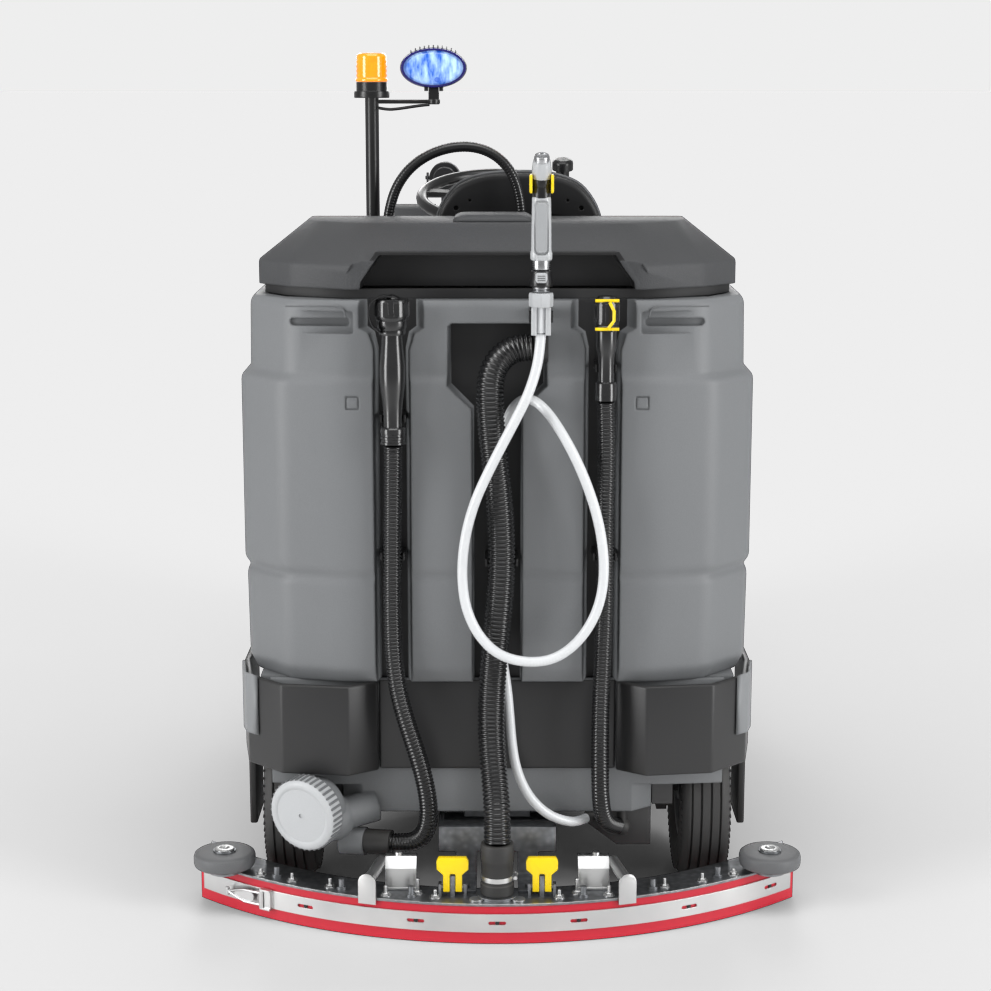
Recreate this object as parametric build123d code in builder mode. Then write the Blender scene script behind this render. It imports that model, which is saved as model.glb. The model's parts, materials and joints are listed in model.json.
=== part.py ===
from build123d import *
import os
from math import atan2, cos, degrees, radians, sin, sqrt, tan

# Ride-on scrubber dryer.  +Z is up, the rear faces -Y, millimetres.
# The origin lies on the floor, under the middle of the machine.
os.makedirs("parts", exist_ok=True)

# ---- Overall sizes -------------------------------------------------------------------------
machine_length = 1860            # rear squeegee strap to the front of the cowl
rear_y = -machine_length / 2
front_y = machine_length / 2
seat_gap = 0.3                   # between pieces that only rest on each other
running_gap = 0.05               # radial, between a shaft and its bore

# ---- Wheels --------------------------------------------------------------------------------
wheel_radius = 190
tyre_width = 100
wheel_x = 413                    # middle of each rear tyre
axle_y = rear_y + 400
rim_radius = 118
tread_depth = 7
tread_groove = 5
axle_radius = 20
drive_radius = 150
drive_width = 110
drive_y = front_y - 290

# ---- Chassis -------------------------------------------------------------------------------
rail_x = 325
rail_width = 40
rail_z = 205
rail_height = 50
rail_front = front_y - 160
rail_back = rear_y + 215
frame_wall = 8

# ---- Fresh water tank ----------------------------------------------------------------------
fresh_z = 200                    # underside at the rear
fresh_top = 468
fresh_back = rear_y + 185
fresh_front = front_y - 510
fresh_wing = 470                 # half width ahead of the rear wheels
deck_bay_z = 330                 # raised underside over the brush deck

# ---- Recovery tank -------------------------------------------------------------------------
tank_back = rear_y + 155
tank_depth = 445
tank_front = tank_back + tank_depth
tank_half = 493
tank_base = fresh_top + seat_gap
tank_top = 1203
shoulder_z = 1060
tank_wall = 12
groove_depth = 45
groove_back = tank_back + groove_depth
hose_groove_x = 198
hose_groove_width = 72
suction_groove_half = 47
cavity_half = 97
cavity_top = 1160
cavity_shelf = 1045
opening_front = tank_front - 115

# ---- Lid -----------------------------------------------------------------------------------
lid_z = 1222
lid_band = 45                    # upright band above the lower edge
lid_top = 1338
lid_back = tank_back + 14
lid_front = opening_front + 15
lid_wall = 6
hinge_y = lid_front + 20
hinge_z = lid_top - 26
hinge_pin_radius = 6
hinge_x = 300

# ---- Rear bumper ---------------------------------------------------------------------------
bumper_bottom = 290
bumper_top = fresh_top
bumper_wall = 12

# ---- Squeegee ------------------------------------------------------------------------------
squeegee_radius = 863            # outer face of the strap
squeegee_half = 592
squeegee_y = rear_y + squeegee_radius   # centre of the arc
strap_wall = 3
blade_wall = 6
floor_gap = 1
plate_z = 76
plate_wall = 4
plate_top = plate_z + plate_wall
plate_depth = 84
roller_radius = 60
roller_x = squeegee_half + 4 - roller_radius
roller_y = rear_y + 185
roller_z = 88
roller_height = 30
cuff_y = rear_y + 50
lever_x = 85
lever_y = rear_y + 45
lever_z = 98
pivot_y = rear_y + 325
pivot_z = 180
pivot_radius = 8
arm_x = 110

# ---- Brush deck ----------------------------------------------------------------------------
deck_y = 60
brush_x = 225
brush_radius = 218
deck_top = 124
deck_wall = 6
shaft_radius = 12.5

# ---- Driver's place ------------------------------------------------------------------------
console_top = 870
console_front = tank_front + 420
footboard_top = 480
seat_x = 44
seat_half = 210
cushion_z = 905
cushion_height = 80
wheel_centre = (0, front_y - 630, 1335)
steering_tilt = 15
steering_radius = 175
steering_rim = 13

# ---- Hoses ---------------------------------------------------------------------------------
suction_diameter = 52
drain_diameter = 36
level_diameter = 35
spray_diameter = 19
arc_diameter = 20
cable_diameter = 5


def mirrored(points):
    """Half an outline, given at x > 0, closed by its mirror image in x = 0."""
    return [*points, *[(-x, y) for x, y in reversed(points)]]


def bend_radii(points):
    """One radius for each corner: 0.45 of the shorter run over the tangent of half the turn."""
    radii = []
    for before, corner, after in zip(points, points[1:], points[2:]):
        run_in = Vector(*corner) - Vector(*before)
        run_out = Vector(*after) - Vector(*corner)
        turn = radians(run_in.get_angle(run_out))
        radii.append(0.45 * min(run_in.length, run_out.length) / tan(turn / 2))
    return radii


def arc_point(radius, x):
    """The point at width x on a squeegee arc."""
    return (x, squeegee_y - sqrt(radius * radius - x * x))


# ---- Chassis -------------------------------------------------------------------------------
with BuildPart() as chassis_frame:
    rail_length = rail_front - rail_back
    with Locations(*[(side * rail_x, (rail_front + rail_back) / 2, rail_z) for side in (-1, 1)]):
        Box(rail_width, rail_length, rail_height, align=(Align.CENTER, Align.CENTER, Align.MIN))
    # Cross members under the fresh tank and ahead of it.
    for y, z in ((pivot_y + 40, pivot_z), (fresh_front + 15, rail_z + 25)):
        with Locations((0, y, z)):
            Box(2 * rail_x, rail_width, 34)
    # Plates that carry the rear axle stubs.
    with Locations(*[(side * (rail_x + 10), axle_y, 200) for side in (-1, 1)]):
        Box(20, 90, 110)
    with Locations(*[(side * (rail_x + 10), (axle_y + pivot_y) / 2, pivot_z) for side in (-1, 1)]):
        Box(20, abs(axle_y - pivot_y), 34)
    with BuildSketch(Plane.YZ.offset(rail_x)):
        with Locations((axle_y, wheel_radius)):
            Circle(axle_radius)
    extrude(amount=wheel_x + 52 - rail_x)
    with BuildSketch(Plane.YZ.offset(-rail_x)):
        with Locations((axle_y, wheel_radius)):
            Circle(axle_radius)
    extrude(amount=-(wheel_x + 52 - rail_x))
    # Lugs for the squeegee arm.
    lug_x = arm_x + 14
    with Locations(*[(side * lug_x, pivot_y + 8, pivot_z) for side in (-1, 1)]):
        Box(frame_wall, 50, 34)
    with BuildSketch(Plane.YZ.offset(-lug_x - frame_wall)):
        with Locations((pivot_y, pivot_z)):
            Circle(pivot_radius + running_gap)
    extrude(amount=2 * (lug_x + frame_wall), mode=Mode.SUBTRACT)
    # Steering bridge over the drive wheel.
    with Locations(*[(side * rail_x, drive_y, rail_z + rail_height) for side in (-1, 1)]):
        Box(16, 120, 125, align=(Align.CENTER, Align.CENTER, Align.MIN))
    with Locations((0, drive_y, rail_z + rail_height + 125)):
        Box(2 * rail_x + 16, 120, 16, align=(Align.CENTER, Align.CENTER, Align.MIN))
        Cylinder(45, 50, align=(Align.CENTER, Align.CENTER, Align.MIN))
    with Locations((0, drive_y, rail_z + rail_height + 100)):
        Cylinder(25 + running_gap, 90, align=(Align.CENTER, Align.CENTER, Align.MIN), mode=Mode.SUBTRACT)
    # Guide bores for the brush deck's posts.
    with Locations(*[(side * rail_x, deck_y, rail_z - 5) for side in (-1, 1)]):
        Cylinder(10 + running_gap, 80, align=(Align.CENTER, Align.CENTER, Align.MIN), mode=Mode.SUBTRACT)
chassis_frame.part.label = "chassis_frame"
export_step(chassis_frame.part, "parts/chassis_frame.step")

# ---- Rear wheels ---------------------------------------------------------------------------
for side, name in ((-1, "left"), (1, "right")):
    wheel_plane = Plane(origin=(side * wheel_x, axle_y, wheel_radius), x_dir=(1, 0, 0), z_dir=(0, -1, 0))
    wheel_axis = Axis((0, axle_y, wheel_radius), (1, 0, 0))
    with BuildPart() as tyre:
        with BuildSketch(wheel_plane):
            with BuildLine():
                half = tyre_width / 2
                Polyline((-half + 8, rim_radius), (-half, rim_radius + 12), (-half, wheel_radius - 22))
                Line((-half, wheel_radius - 22), (-half + 12, wheel_radius))
                Polyline((-half + 12, wheel_radius), (half - 12, wheel_radius), (half, wheel_radius - 22),
                         (half, rim_radius + 12), (half - 8, rim_radius), (-half + 8, rim_radius))
            make_face()
            with Locations(*[(x, wheel_radius) for x in (-28, -9.5, 9.5, 28)]):
                Rectangle(tread_groove, 2 * tread_depth, mode=Mode.SUBTRACT)
        revolve(axis=wheel_axis)
    tyre.part.label = f"tyre_{name}"
    export_step(tyre.part, f"parts/tyre_{name}.step")
    with BuildPart() as wheel:
        with BuildSketch(wheel_plane):
            with Locations((0, rim_radius - 7 - seat_gap / 2)):
                Rectangle(tyre_width - 20, 14 - seat_gap)
            with Locations((0, (rim_radius + 30) / 2 - 5)):
                Rectangle(14, rim_radius - 30)
            with Locations((0, axle_radius + running_gap + 9)):
                Rectangle(84, 18)
        revolve(axis=wheel_axis)
        with BuildSketch(Plane(wheel_plane.origin - Vector(60, 0, 0), x_dir=(0, 1, 0), z_dir=(1, 0, 0))):
            with PolarLocations(76, 8):
                Circle(12)
        extrude(amount=120, mode=Mode.SUBTRACT)
    wheel.part.label = f"wheel_{name}"
    export_step(wheel.part, f"parts/wheel_{name}.step")

# ---- Steering fork with its drive motor ----------------------------------------------------
fork_x = drive_width / 2 + 18
fork_top = rail_z + rail_height + 90
with BuildPart() as steering_fork:
    with Locations(*[(side * fork_x, drive_y, drive_radius - 30) for side in (-1, 1)]):
        Box(12, 110, fork_top - drive_radius + 30, align=(Align.CENTER, Align.CENTER, Align.MIN))
    with Locations((0, drive_y, fork_top - 14)):
        Box(2 * fork_x + 12, 110, 14, align=(Align.CENTER, Align.CENTER, Align.MIN))
    with Locations((0, drive_y, fork_top - 5)):
        Cylinder(25, 120, align=(Align.CENTER, Align.CENTER, Align.MIN))
    # Drive motor, flanged to the right-hand side of the fork.
    with BuildSketch(Plane.YZ.offset(fork_x + 4)):
        with Locations((drive_y, drive_radius)):
            Circle(52)
    extrude(amount=95)
    with BuildSketch(Plane.YZ.offset(-fork_x - 10)):
        with Locations((drive_y, drive_radius)):
            Circle(14)
    extrude(amount=2 * fork_x + 10)
steering_fork.part.label = "steering_fork"
export_step(steering_fork.part, "parts/steering_fork.step")

with BuildPart() as drive_wheel:
    with BuildSketch(Plane(origin=(0, drive_y, drive_radius), x_dir=(1, 0, 0), z_dir=(0, -1, 0))):
        inner = 14 + running_gap
        with BuildLine():
            half = drive_width / 2
            Polyline((-half + 15, inner), (-half + 15, 60), (-half, 85), (-half, drive_radius - 10),
                     (-half + 10, drive_radius), (half - 10, drive_radius), (half, drive_radius - 10),
                     (half, 85), (half - 15, 60), (half - 15, inner), (-half + 15, inner))
        make_face()
    revolve(axis=Axis((0, drive_y, drive_radius), (1, 0, 0)))
drive_wheel.part.label = "drive_wheel"
export_step(drive_wheel.part, "parts/drive_wheel.step")

# ---- Fresh water tank ----------------------------------------------------------------------
cap_plane = Plane(origin=(-377, rear_y + 98, 220), x_dir=(0.88, -0.47, 0), z_dir=(-0.467, -0.881, -0.068))
cap_depth = 38
cap_radius = 71
neck_radius = 58
drain_end = Vector(-206, rear_y + 156, 146)
drain_out = Vector(-0.97, 0.24, -0.03)
cuff_length = 52
rail_top = rail_z + rail_height + seat_gap
rail_inside = rail_x - rail_width / 2 - 2
wheel_inside = wheel_x - tyre_width / 2 - 13
bay_back = deck_y - 260
bay_front = deck_y + 260
with BuildPart() as fresh_tank:
    with BuildSketch(Plane.XY.offset(fresh_z)):
        Polygon(*mirrored([(rail_inside - 40, fresh_back), (rail_inside, fresh_back + 30),
                           (rail_inside, bay_back)]), align=None)
    extrude(amount=rail_top - fresh_z)
    with BuildSketch(Plane.XY.offset(rail_top)):
        Polygon(*mirrored([(330, fresh_back), (440, fresh_back + 10), (440, axle_y - wheel_radius - 8),
                           (wheel_inside, axle_y - wheel_radius - 8),
                           (wheel_inside, axle_y + wheel_radius + 15),
                           (fresh_wing, axle_y + wheel_radius + 15), (fresh_wing, fresh_front)]), align=None)
    extrude(amount=fresh_top - rail_top)
    # Over the wheels the tank reaches out again.
    with Locations((0, axle_y - wheel_radius + 5, fresh_top)):
        Box(2 * fresh_wing - 20, 2 * wheel_radius + 20, 68, align=(Align.CENTER, Align.MIN, Align.MAX))
    with Locations((0, deck_y, deck_bay_z)):
        Box(2 * fresh_wing + 2, bay_front - bay_back, 150, align=(Align.CENTER, Align.CENTER, Align.MAX),
            mode=Mode.SUBTRACT)
    # Inside: one well between the wheels and one over the deck, open at the top.
    with Locations((0, (fresh_back + bay_back) / 2, fresh_z + tank_wall)):
        Box(2 * rail_inside - 80, bay_back - fresh_back - 2 * tank_wall, fresh_top,
            align=(Align.CENTER, Align.CENTER, Align.MIN), mode=Mode.SUBTRACT)
    with Locations((0, (bay_back + fresh_front) / 2, deck_bay_z + tank_wall)):
        Box(2 * (fresh_wing - tank_wall), fresh_front - bay_back - 2 * tank_wall, fresh_top,
            align=(Align.CENTER, Align.CENTER, Align.MIN), mode=Mode.SUBTRACT)
    # Moulded neck for the drain cap, with a branch towards the drain hose.
    with BuildSketch(cap_plane.offset(-6 - seat_gap)):
        Circle(neck_radius)
    extrude(amount=-64)
    neck_elbow = Vector(-322, rear_y + 162, 196)
    with Locations((neck_elbow.X, neck_elbow.Y, neck_elbow.Z)):
        Sphere(46)
    with BuildSketch(Plane(origin=neck_elbow, z_dir=(82, 33, 14))):
        Circle(32)
    extrude(amount=90)
    with BuildSketch(Plane(origin=drain_end + drain_out * (cuff_length + 2 * seat_gap), z_dir=drain_out)):
        Circle(27)
    extrude(amount=50)
fresh_tank.part.label = "fresh_tank"
export_step(fresh_tank.part, "parts/fresh_tank.step")

# ---- Recovery tank -------------------------------------------------------------------------
def tank_outline(side_inset, rear_inset):
    """The tank's faceted plan outline, moved in by an inset."""
    half_width = tank_half - side_inset
    return mirrored([(300 - side_inset / 2, tank_back + rear_inset),
                     (half_width - 83, tank_back + 22 + rear_inset),
                     (half_width, tank_back + 112 + rear_inset),
                     (half_width, tank_front - side_inset / 2)])


with BuildPart() as recovery_tank:
    # Height, side inset and rear inset of each moulded step, from the foot to the rim.
    tank_steps = ((tank_base, 18, 12), (tank_base + 28, 6, 2), (664, 4, 0), (677, 11, 5), (692, 0, 0),
                  (shoulder_z - 10, 0, 0), (shoulder_z + 4, 18, 8), (tank_top - 10, 20, 8),
                  (tank_top - 8, 28, 14), (tank_top, 28, 14))
    for height, side_inset, rear_inset in tank_steps:
        with BuildSketch(Plane.XY.offset(height)):
            Polygon(*tank_outline(side_inset, rear_inset), align=None)
    loft(ruled=True)
    # Inside, clear of the hose grooves.
    with BuildSketch(Plane.XY.offset(tank_base + tank_wall)):
        Polygon(*mirrored([(260, groove_back + tank_wall + 20), (300, tank_back + 45), (400, tank_back + 62),
                           (tank_half - 34, tank_back + 140), (tank_half - 34, tank_front - 24)]), align=None)
    extrude(amount=tank_top - tank_base - 2 * tank_wall, mode=Mode.SUBTRACT)
    with BuildSketch(Plane.XY.offset(tank_top - tank_wall - 1)):
        Polygon(*mirrored([(300, tank_back + 75), (400, tank_back + 90), (440, tank_back + 150),
                           (440, opening_front)]), align=None)
    extrude(amount=2 * tank_wall, mode=Mode.SUBTRACT)
    # Hose grooves with a wider pocket for each hose end.
    for side in (-1, 1):
        with BuildSketch(Plane.XZ.offset(-groove_back)):
            centre = side * hose_groove_x
            half = hose_groove_width / 2
            Polygon((centre - half, tank_base - 5), (centre - half, 1110), (centre - half - 14, 1140),
                    (centre - half - 36, 1152), (centre - half - 36, tank_top + 5),
                    (centre + half + 36, tank_top + 5), (centre + half + 36, 1152),
                    (centre + half + 14, 1140), (centre + half, 1110), (centre + half, tank_base - 5),
                    align=None)
        extrude(amount=groove_depth + 20, mode=Mode.SUBTRACT)
    # Suction groove, opening into the cavity around the hose inlet.
    with BuildSketch(Plane.XZ.offset(-groove_back)):
        Polygon(*mirrored([(suction_groove_half, tank_base - 5), (suction_groove_half, 985),
                           (cavity_half, cavity_shelf), (cavity_half, cavity_top - 10),
                           (cavity_half - 10, cavity_top)]), align=None)
    extrude(amount=groove_depth + 20, mode=Mode.SUBTRACT)
    # Grip slots high on the rear face.
    for side in (-1, 1):
        with BuildSketch(Plane.XZ.offset(-(tank_back + 32))):
            with Locations((side * 332, 1162)):
                SlotOverall(112, 15)
        extrude(amount=40, mode=Mode.SUBTRACT)
    # Hinge ears on the front deck.
    with Locations(*[(side * hinge_x, hinge_y, tank_top - 2) for side in (-1, 1)]):
        Box(14, 26, hinge_z - tank_top + 14, align=(Align.CENTER, Align.CENTER, Align.MIN))
    with BuildSketch(Plane.YZ.offset(-hinge_x - 10)):
        with Locations((hinge_y, hinge_z)):
            Circle(hinge_pin_radius + running_gap)
    extrude(amount=2 * hinge_x + 20, mode=Mode.SUBTRACT)
recovery_tank.part.label = "recovery_tank"
export_step(recovery_tank.part, "parts/recovery_tank.step")

# ---- Tank lid ------------------------------------------------------------------------------
def lid_sections(inset):
    """Lower edge, top of the upright band, and crown of the lid, each moved in by an inset."""
    edge = mirrored([(257, lid_back + inset), (389 - inset, lid_back + 65 + inset),
                     (459 - inset, lid_back + 144 + inset), (459 - inset, lid_front - inset)])
    crown = mirrored([(250, lid_back + 111 + inset), (345 - inset, lid_back + 176 + inset),
                      (376 - inset, lid_back + 237 + inset), (369 - inset, lid_front - inset)])
    return edge, crown


with BuildPart() as lid_cavity:
    edge, crown = lid_sections(lid_wall)
    for height, outline in ((lid_z - 1, edge), (lid_z + lid_band - 4, edge), (lid_top - lid_wall, crown)):
        with BuildSketch(Plane.XY.offset(height)):
            Polygon(*outline, align=None)
    loft(ruled=True)
    # The handle recess keeps its own walls.
    with BuildSketch(Plane.XZ.offset(-(lid_back + 78))):
        Polygon(*mirrored([(300, lid_z - 5), (285, lid_z + 12), (248, lid_z + 84)]), align=None)
    extrude(amount=100, mode=Mode.SUBTRACT)

with BuildPart() as tank_lid:
    edge, crown = lid_sections(0)
    for height, outline in ((lid_z, edge), (lid_z + lid_band, edge), (lid_top, crown)):
        with BuildSketch(Plane.XY.offset(height)):
            Polygon(*outline, align=None)
    loft(ruled=True)
    add(lid_cavity.part, mode=Mode.SUBTRACT)
    # A shallow frame, then the deep recess for the hand.
    with BuildSketch(Plane.XZ.offset(-(lid_back + 12))):
        Polygon(*mirrored([(290, lid_z - 5), (286, lid_z + 18), (244, lid_z + 88)]), align=None)
    extrude(amount=40, mode=Mode.SUBTRACT)
    with BuildSketch(Plane.XZ.offset(-(lid_back + 70))):
        Polygon(*mirrored([(262, lid_z - 5), (258, lid_z + 14), (222, lid_z + 66)]), align=None)
    extrude(amount=90, mode=Mode.SUBTRACT)
    # Hinge knuckles with their pins.
    for side in (-1, 1):
        with Locations((side * (hinge_x - 24), hinge_y - 8, hinge_z)):
            Box(20, 28, 20)
        with Locations(Location((side * (hinge_x - 12), hinge_y, hinge_z), (0, 90, 0))):
            Cylinder(hinge_pin_radius, 44)
    # Rubber seal round the underside.
    with BuildSketch(Plane.XY.offset(tank_top + seat_gap)):
        Polygon(*mirrored([(290, lid_back + 34), (400, lid_back + 88), (448, lid_back + 156),
                           (448, lid_front - 2)]), align=None)
        Polygon(*mirrored([(286, lid_back + 50), (390, lid_back + 102), (434, lid_back + 164),
                           (434, lid_front - 18)]), align=None, mode=Mode.SUBTRACT)
    extrude(amount=lid_z - tank_top - 2 * seat_gap)
tank_lid.part.label = "tank_lid"
export_step(tank_lid.part, "parts/tank_lid.step")

# ---- Suction turbine and its cover ---------------------------------------------------------
turbine_y = lid_back + 190
with BuildPart() as turbine_cover:
    for height, half_x, half_y in ((lid_top + seat_gap, 78, 62), (lid_top + 8, 74, 58),
                                   (lid_top + 13, 64, 48)):
        with BuildSketch(Plane.XY.offset(height)):
            with Locations((-8, turbine_y + 20)):
                RectangleRounded(2 * half_x, 2 * half_y, 16)
    loft(ruled=True)
turbine_cover.part.label = "turbine_cover"
export_step(turbine_cover.part, "parts/turbine_cover.step")

with BuildPart() as suction_turbine:
    with Locations((0, turbine_y + 30, lid_top - lid_wall - seat_gap)):
        Cylinder(62, 92, align=(Align.CENTER, Align.CENTER, Align.MAX))
        Cylinder(38, 130, align=(Align.CENTER, Align.CENTER, Align.MAX))
suction_turbine.part.label = "suction_turbine"
export_step(suction_turbine.part, "parts/suction_turbine.step")

# ---- Rear bumper, pads and mud flaps -------------------------------------------------------
side_wall_x = 505
with BuildPart() as rear_bumper:
    outer = [(230, rear_y + 166), (286, rear_y + 128), (415, rear_y + 146), (487, rear_y + 216),
             (side_wall_x, rear_y + 330), (side_wall_x, rear_y + 480)]
    inner = [(side_wall_x - bumper_wall, rear_y + 480), (side_wall_x - bumper_wall, rear_y + 332),
             (476, rear_y + 222), (411, rear_y + 159), (288, rear_y + 142), (230, rear_y + 180)]
    for side in (-1, 1):
        with BuildSketch(Plane.XY.offset(bumper_bottom)):
            Polygon(*[(side * x, y) for x, y in outer + inner], align=None)
        extrude(amount=bumper_top - bumper_bottom)
    # Recessed middle panel.
    with Locations((0, fresh_back - seat_gap, bumper_bottom)):
        Box(2 * 229, 9, bumper_top - bumper_bottom, align=(Align.CENTER, Align.MAX, Align.MIN))
rear_bumper.part.label = "rear_bumper"
export_step(rear_bumper.part, "parts/rear_bumper.step")

with BuildPart() as corner_pads:
    for side in (-1, 1):
        with BuildSketch(Plane.XY.offset(352)):
            pad = ((464, rear_y + 190), (490, rear_y + 214), (500, rear_y + 250), (506, rear_y + 302),
                   (501, rear_y + 302), (488, rear_y + 216.5))
            Polygon(*[(side * x, y) for x, y in pad], align=None)
        extrude(amount=122)
corner_pads.part.label = "corner_pads"
export_step(corner_pads.part, "parts/corner_pads.step")

with BuildPart() as mud_flaps:
    with Locations(*[(side * (side_wall_x - 10), axle_y, bumper_bottom - seat_gap) for side in (-1, 1)]):
        Box(14, 120, 170, align=(Align.CENTER, Align.CENTER, Align.MAX))
mud_flaps.part.label = "mud_flaps"
export_step(mud_flaps.part, "parts/mud_flaps.step")

# ---- Drain cap on its neck -----------------------------------------------------------------
with BuildPart() as drain_cap:
    with BuildSketch(cap_plane):
        Circle(cap_radius)
        with PolarLocations(cap_radius, 18):
            Rectangle(7, 12)
    extrude(amount=-cap_depth)
    with BuildSketch(cap_plane.offset(-6)):
        Circle(neck_radius + 0.4)
    extrude(amount=-cap_depth, mode=Mode.SUBTRACT)
drain_cap.part.label = "drain_cap"
export_step(drain_cap.part, "parts/drain_cap.step")

# ---- Squeegee arm --------------------------------------------------------------------------
channel_y = rear_y + 150
with BuildPart() as squeegee_arm:
    for side in (-1, 1):
        with BuildSketch(Plane.YZ.offset(side * arm_x - 4)):
            Polygon((channel_y + 4, 130), (channel_y + 4, 176), (pivot_y - 30, 194), (pivot_y + 12, 194),
                    (pivot_y + 12, 166), (pivot_y - 60, 150), (channel_y + 60, 130), align=None)
        extrude(amount=8)
        with Locations(Location((side * (arm_x + 10), pivot_y, pivot_z), (0, 90, 0))):
            Cylinder(pivot_radius, 36)
    # Channel across the back, open to the front.
    with Locations((0, channel_y, 155)):
        Box(2 * arm_x + 8, 4, 50, align=(Align.CENTER, Align.MIN, Align.CENTER))
    for z in (130, 176):
        with Locations((0, channel_y, z)):
            Box(2 * arm_x + 8, 34, 4, align=(Align.CENTER, Align.MIN, Align.MIN))
    # Upper plate between the arms.
    with Locations((0, rear_y + 245, 166)):
        Box(2 * arm_x, 44, 5)
        Box(130, 5, 24, align=(Align.CENTER, Align.CENTER, Align.MIN))
    # Feet bolted to the squeegee plate.
    foot_x = 60
    foot_width = 40
    foot_end = arc_point(squeegee_radius - plate_depth + 26, foot_x)[1]
    for side in (-1, 1):
        with Locations((side * foot_x, channel_y + 6, plate_top + seat_gap)):
            Box(foot_width, channel_y + 6 - foot_end, 5, align=(Align.CENTER, Align.MAX, Align.MIN))
        with Locations((side * foot_x, channel_y, plate_top + seat_gap)):
            Box(foot_width, 5, 52, align=(Align.CENTER, Align.MIN, Align.MIN))
        with Locations((side * foot_x, foot_end + 14, plate_top + 5)):
            Cylinder(7, 9, align=(Align.CENTER, Align.CENTER, Align.MIN))
squeegee_arm.part.label = "squeegee_arm"
export_step(squeegee_arm.part, "parts/squeegee_arm.step")

# ---- Squeegee ------------------------------------------------------------------------------
def arc_band(outer, inner, reach):
    """A curved strip between two arcs about the squeegee's centre, cut off at x = +-reach."""
    with BuildLine() as edge:
        ThreePointArc(arc_point(outer, -reach), (0, squeegee_y - outer), arc_point(outer, reach))
        Line(arc_point(outer, reach), arc_point(inner, reach))
        ThreePointArc(arc_point(inner, reach), (0, squeegee_y - inner), arc_point(inner, -reach))
        Line(arc_point(inner, -reach), arc_point(outer, -reach))
    make_face(edge.edges())


blade_outer = squeegee_radius - strap_wall
carrier_outer = blade_outer - blade_wall - seat_gap
plate_inner = squeegee_radius - plate_depth
with BuildPart() as squeegee_plate:
    with BuildSketch(Plane.XY.offset(plate_z)):
        arc_band(squeegee_radius - 1, plate_inner, squeegee_half - 10)
        with Locations(*[(side * roller_x, roller_y) for side in (-1, 1)]):
            Circle(32)
    extrude(amount=plate_wall)
    for outer, inner in ((carrier_outer, carrier_outer - 5), (plate_inner + 5, plate_inner)):
        with BuildSketch(Plane.XY.offset(22)):
            arc_band(outer, inner, squeegee_half - 14)
        extrude(amount=plate_z - 22)
    with Locations(*[(side * roller_x, roller_y, plate_top) for side in (-1, 1)]):
        Cylinder(14, roller_z - plate_top - seat_gap, align=(Align.CENTER, Align.CENTER, Align.MIN))
        Cylinder(8, roller_z + roller_height + 3 - plate_top, align=(Align.CENTER, Align.CENTER, Align.MIN))
    with Locations(*[(side * roller_x, roller_y, roller_z + roller_height + seat_gap) for side in (-1, 1)]):
        Cylinder(22, 3, align=(Align.CENTER, Align.CENTER, Align.MIN))
    # Adjusting studs along the middle of the plate.
    stud_places = [arc_point(squeegee_radius - 28, side * x) for side in (-1, 1) for x in (164, 299, 430)]
    with Locations(*[(x, y, plate_top) for x, y in stud_places]):
        Cylinder(10, 5, align=(Align.CENTER, Align.CENTER, Align.MIN))
        Cylinder(6, 20, align=(Align.CENTER, Align.CENTER, Align.MIN))
    # Hose stub in the middle.
    with Locations((0, cuff_y, plate_top)):
        Cylinder(40, 5, align=(Align.CENTER, Align.CENTER, Align.MIN))
        Cylinder(26, 34, align=(Align.CENTER, Align.CENTER, Align.MIN))
    with Locations((0, cuff_y, plate_z - 5)):
        Cylinder(21, 60, align=(Align.CENTER, Align.CENTER, Align.MIN), mode=Mode.SUBTRACT)
    # Pin lugs for the two clamp levers, with the tongue between each lever's legs.
    for side in (-1, 1):
        with Locations(*[(side * lever_x + offset, lever_y, plate_top) for offset in (-24, 24)]):
            Box(5, 16, lever_z - plate_top + 8, align=(Align.CENTER, Align.CENTER, Align.MIN))
        with Locations((side * lever_x, lever_y, plate_top)):
            Box(8, 12, 42, align=(Align.CENTER, Align.CENTER, Align.MIN))
        with Locations(Location((side * lever_x, lever_y, lever_z), (0, 90, 0))):
            Cylinder(4, 52)
squeegee_plate.part.label = "squeegee_plate"
export_step(squeegee_plate.part, "parts/squeegee_plate.step")

with BuildPart() as squeegee_blades:
    with BuildSketch(Plane.XY.offset(floor_gap)):
        arc_band(blade_outer, blade_outer - blade_wall, squeegee_half)
    extrude(amount=plate_z - seat_gap - floor_gap)
    with BuildSketch(Plane.XY.offset(floor_gap)):
        arc_band(plate_inner - seat_gap, plate_inner - seat_gap - 5, squeegee_half - 45)
    extrude(amount=62 - floor_gap)
squeegee_blades.part.label = "squeegee_blades"
export_step(squeegee_blades.part, "parts/squeegee_blades.step")

with BuildPart() as clamp_strap:
    with BuildSketch(Plane.XY.offset(24)):
        arc_band(squeegee_radius, squeegee_radius - strap_wall + 0.2, squeegee_half - 8)
    extrude(amount=37)
    # Slots over the blade pins.
    for x in (-370, -155, 0, 155, 370, 540):
        place = arc_point(squeegee_radius, x)
        turn = degrees(atan2(x, squeegee_y - place[1]))
        with Locations(Location((place[0], place[1], 43), (0, 0, turn))):
            Box(34, 14, 7, mode=Mode.SUBTRACT)
    # Pin lug for the strap's latch.
    latch_x = -455
    latch_place = arc_point(squeegee_radius, latch_x)
    latch_turn = degrees(atan2(latch_x, squeegee_y - latch_place[1]))
    latch_plane = Plane(origin=(latch_place[0], latch_place[1], 24),
                        x_dir=(cos(radians(latch_turn)), sin(radians(latch_turn)), 0), z_dir=(0, 0, 1))
    with BuildSketch(latch_plane):
        with Locations((14, -3)):
            Rectangle(14, 8)
    extrude(amount=37)
    with BuildSketch(latch_plane.offset(-2)):
        with Locations((0, -7)):
            Circle(3)
    extrude(amount=41)
    for height in (-2, 35):
        with BuildSketch(latch_plane.offset(height)):
            with Locations((9, -5)):
                Rectangle(24, 10)
        extrude(amount=4)
clamp_strap.part.label = "clamp_strap"
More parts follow.
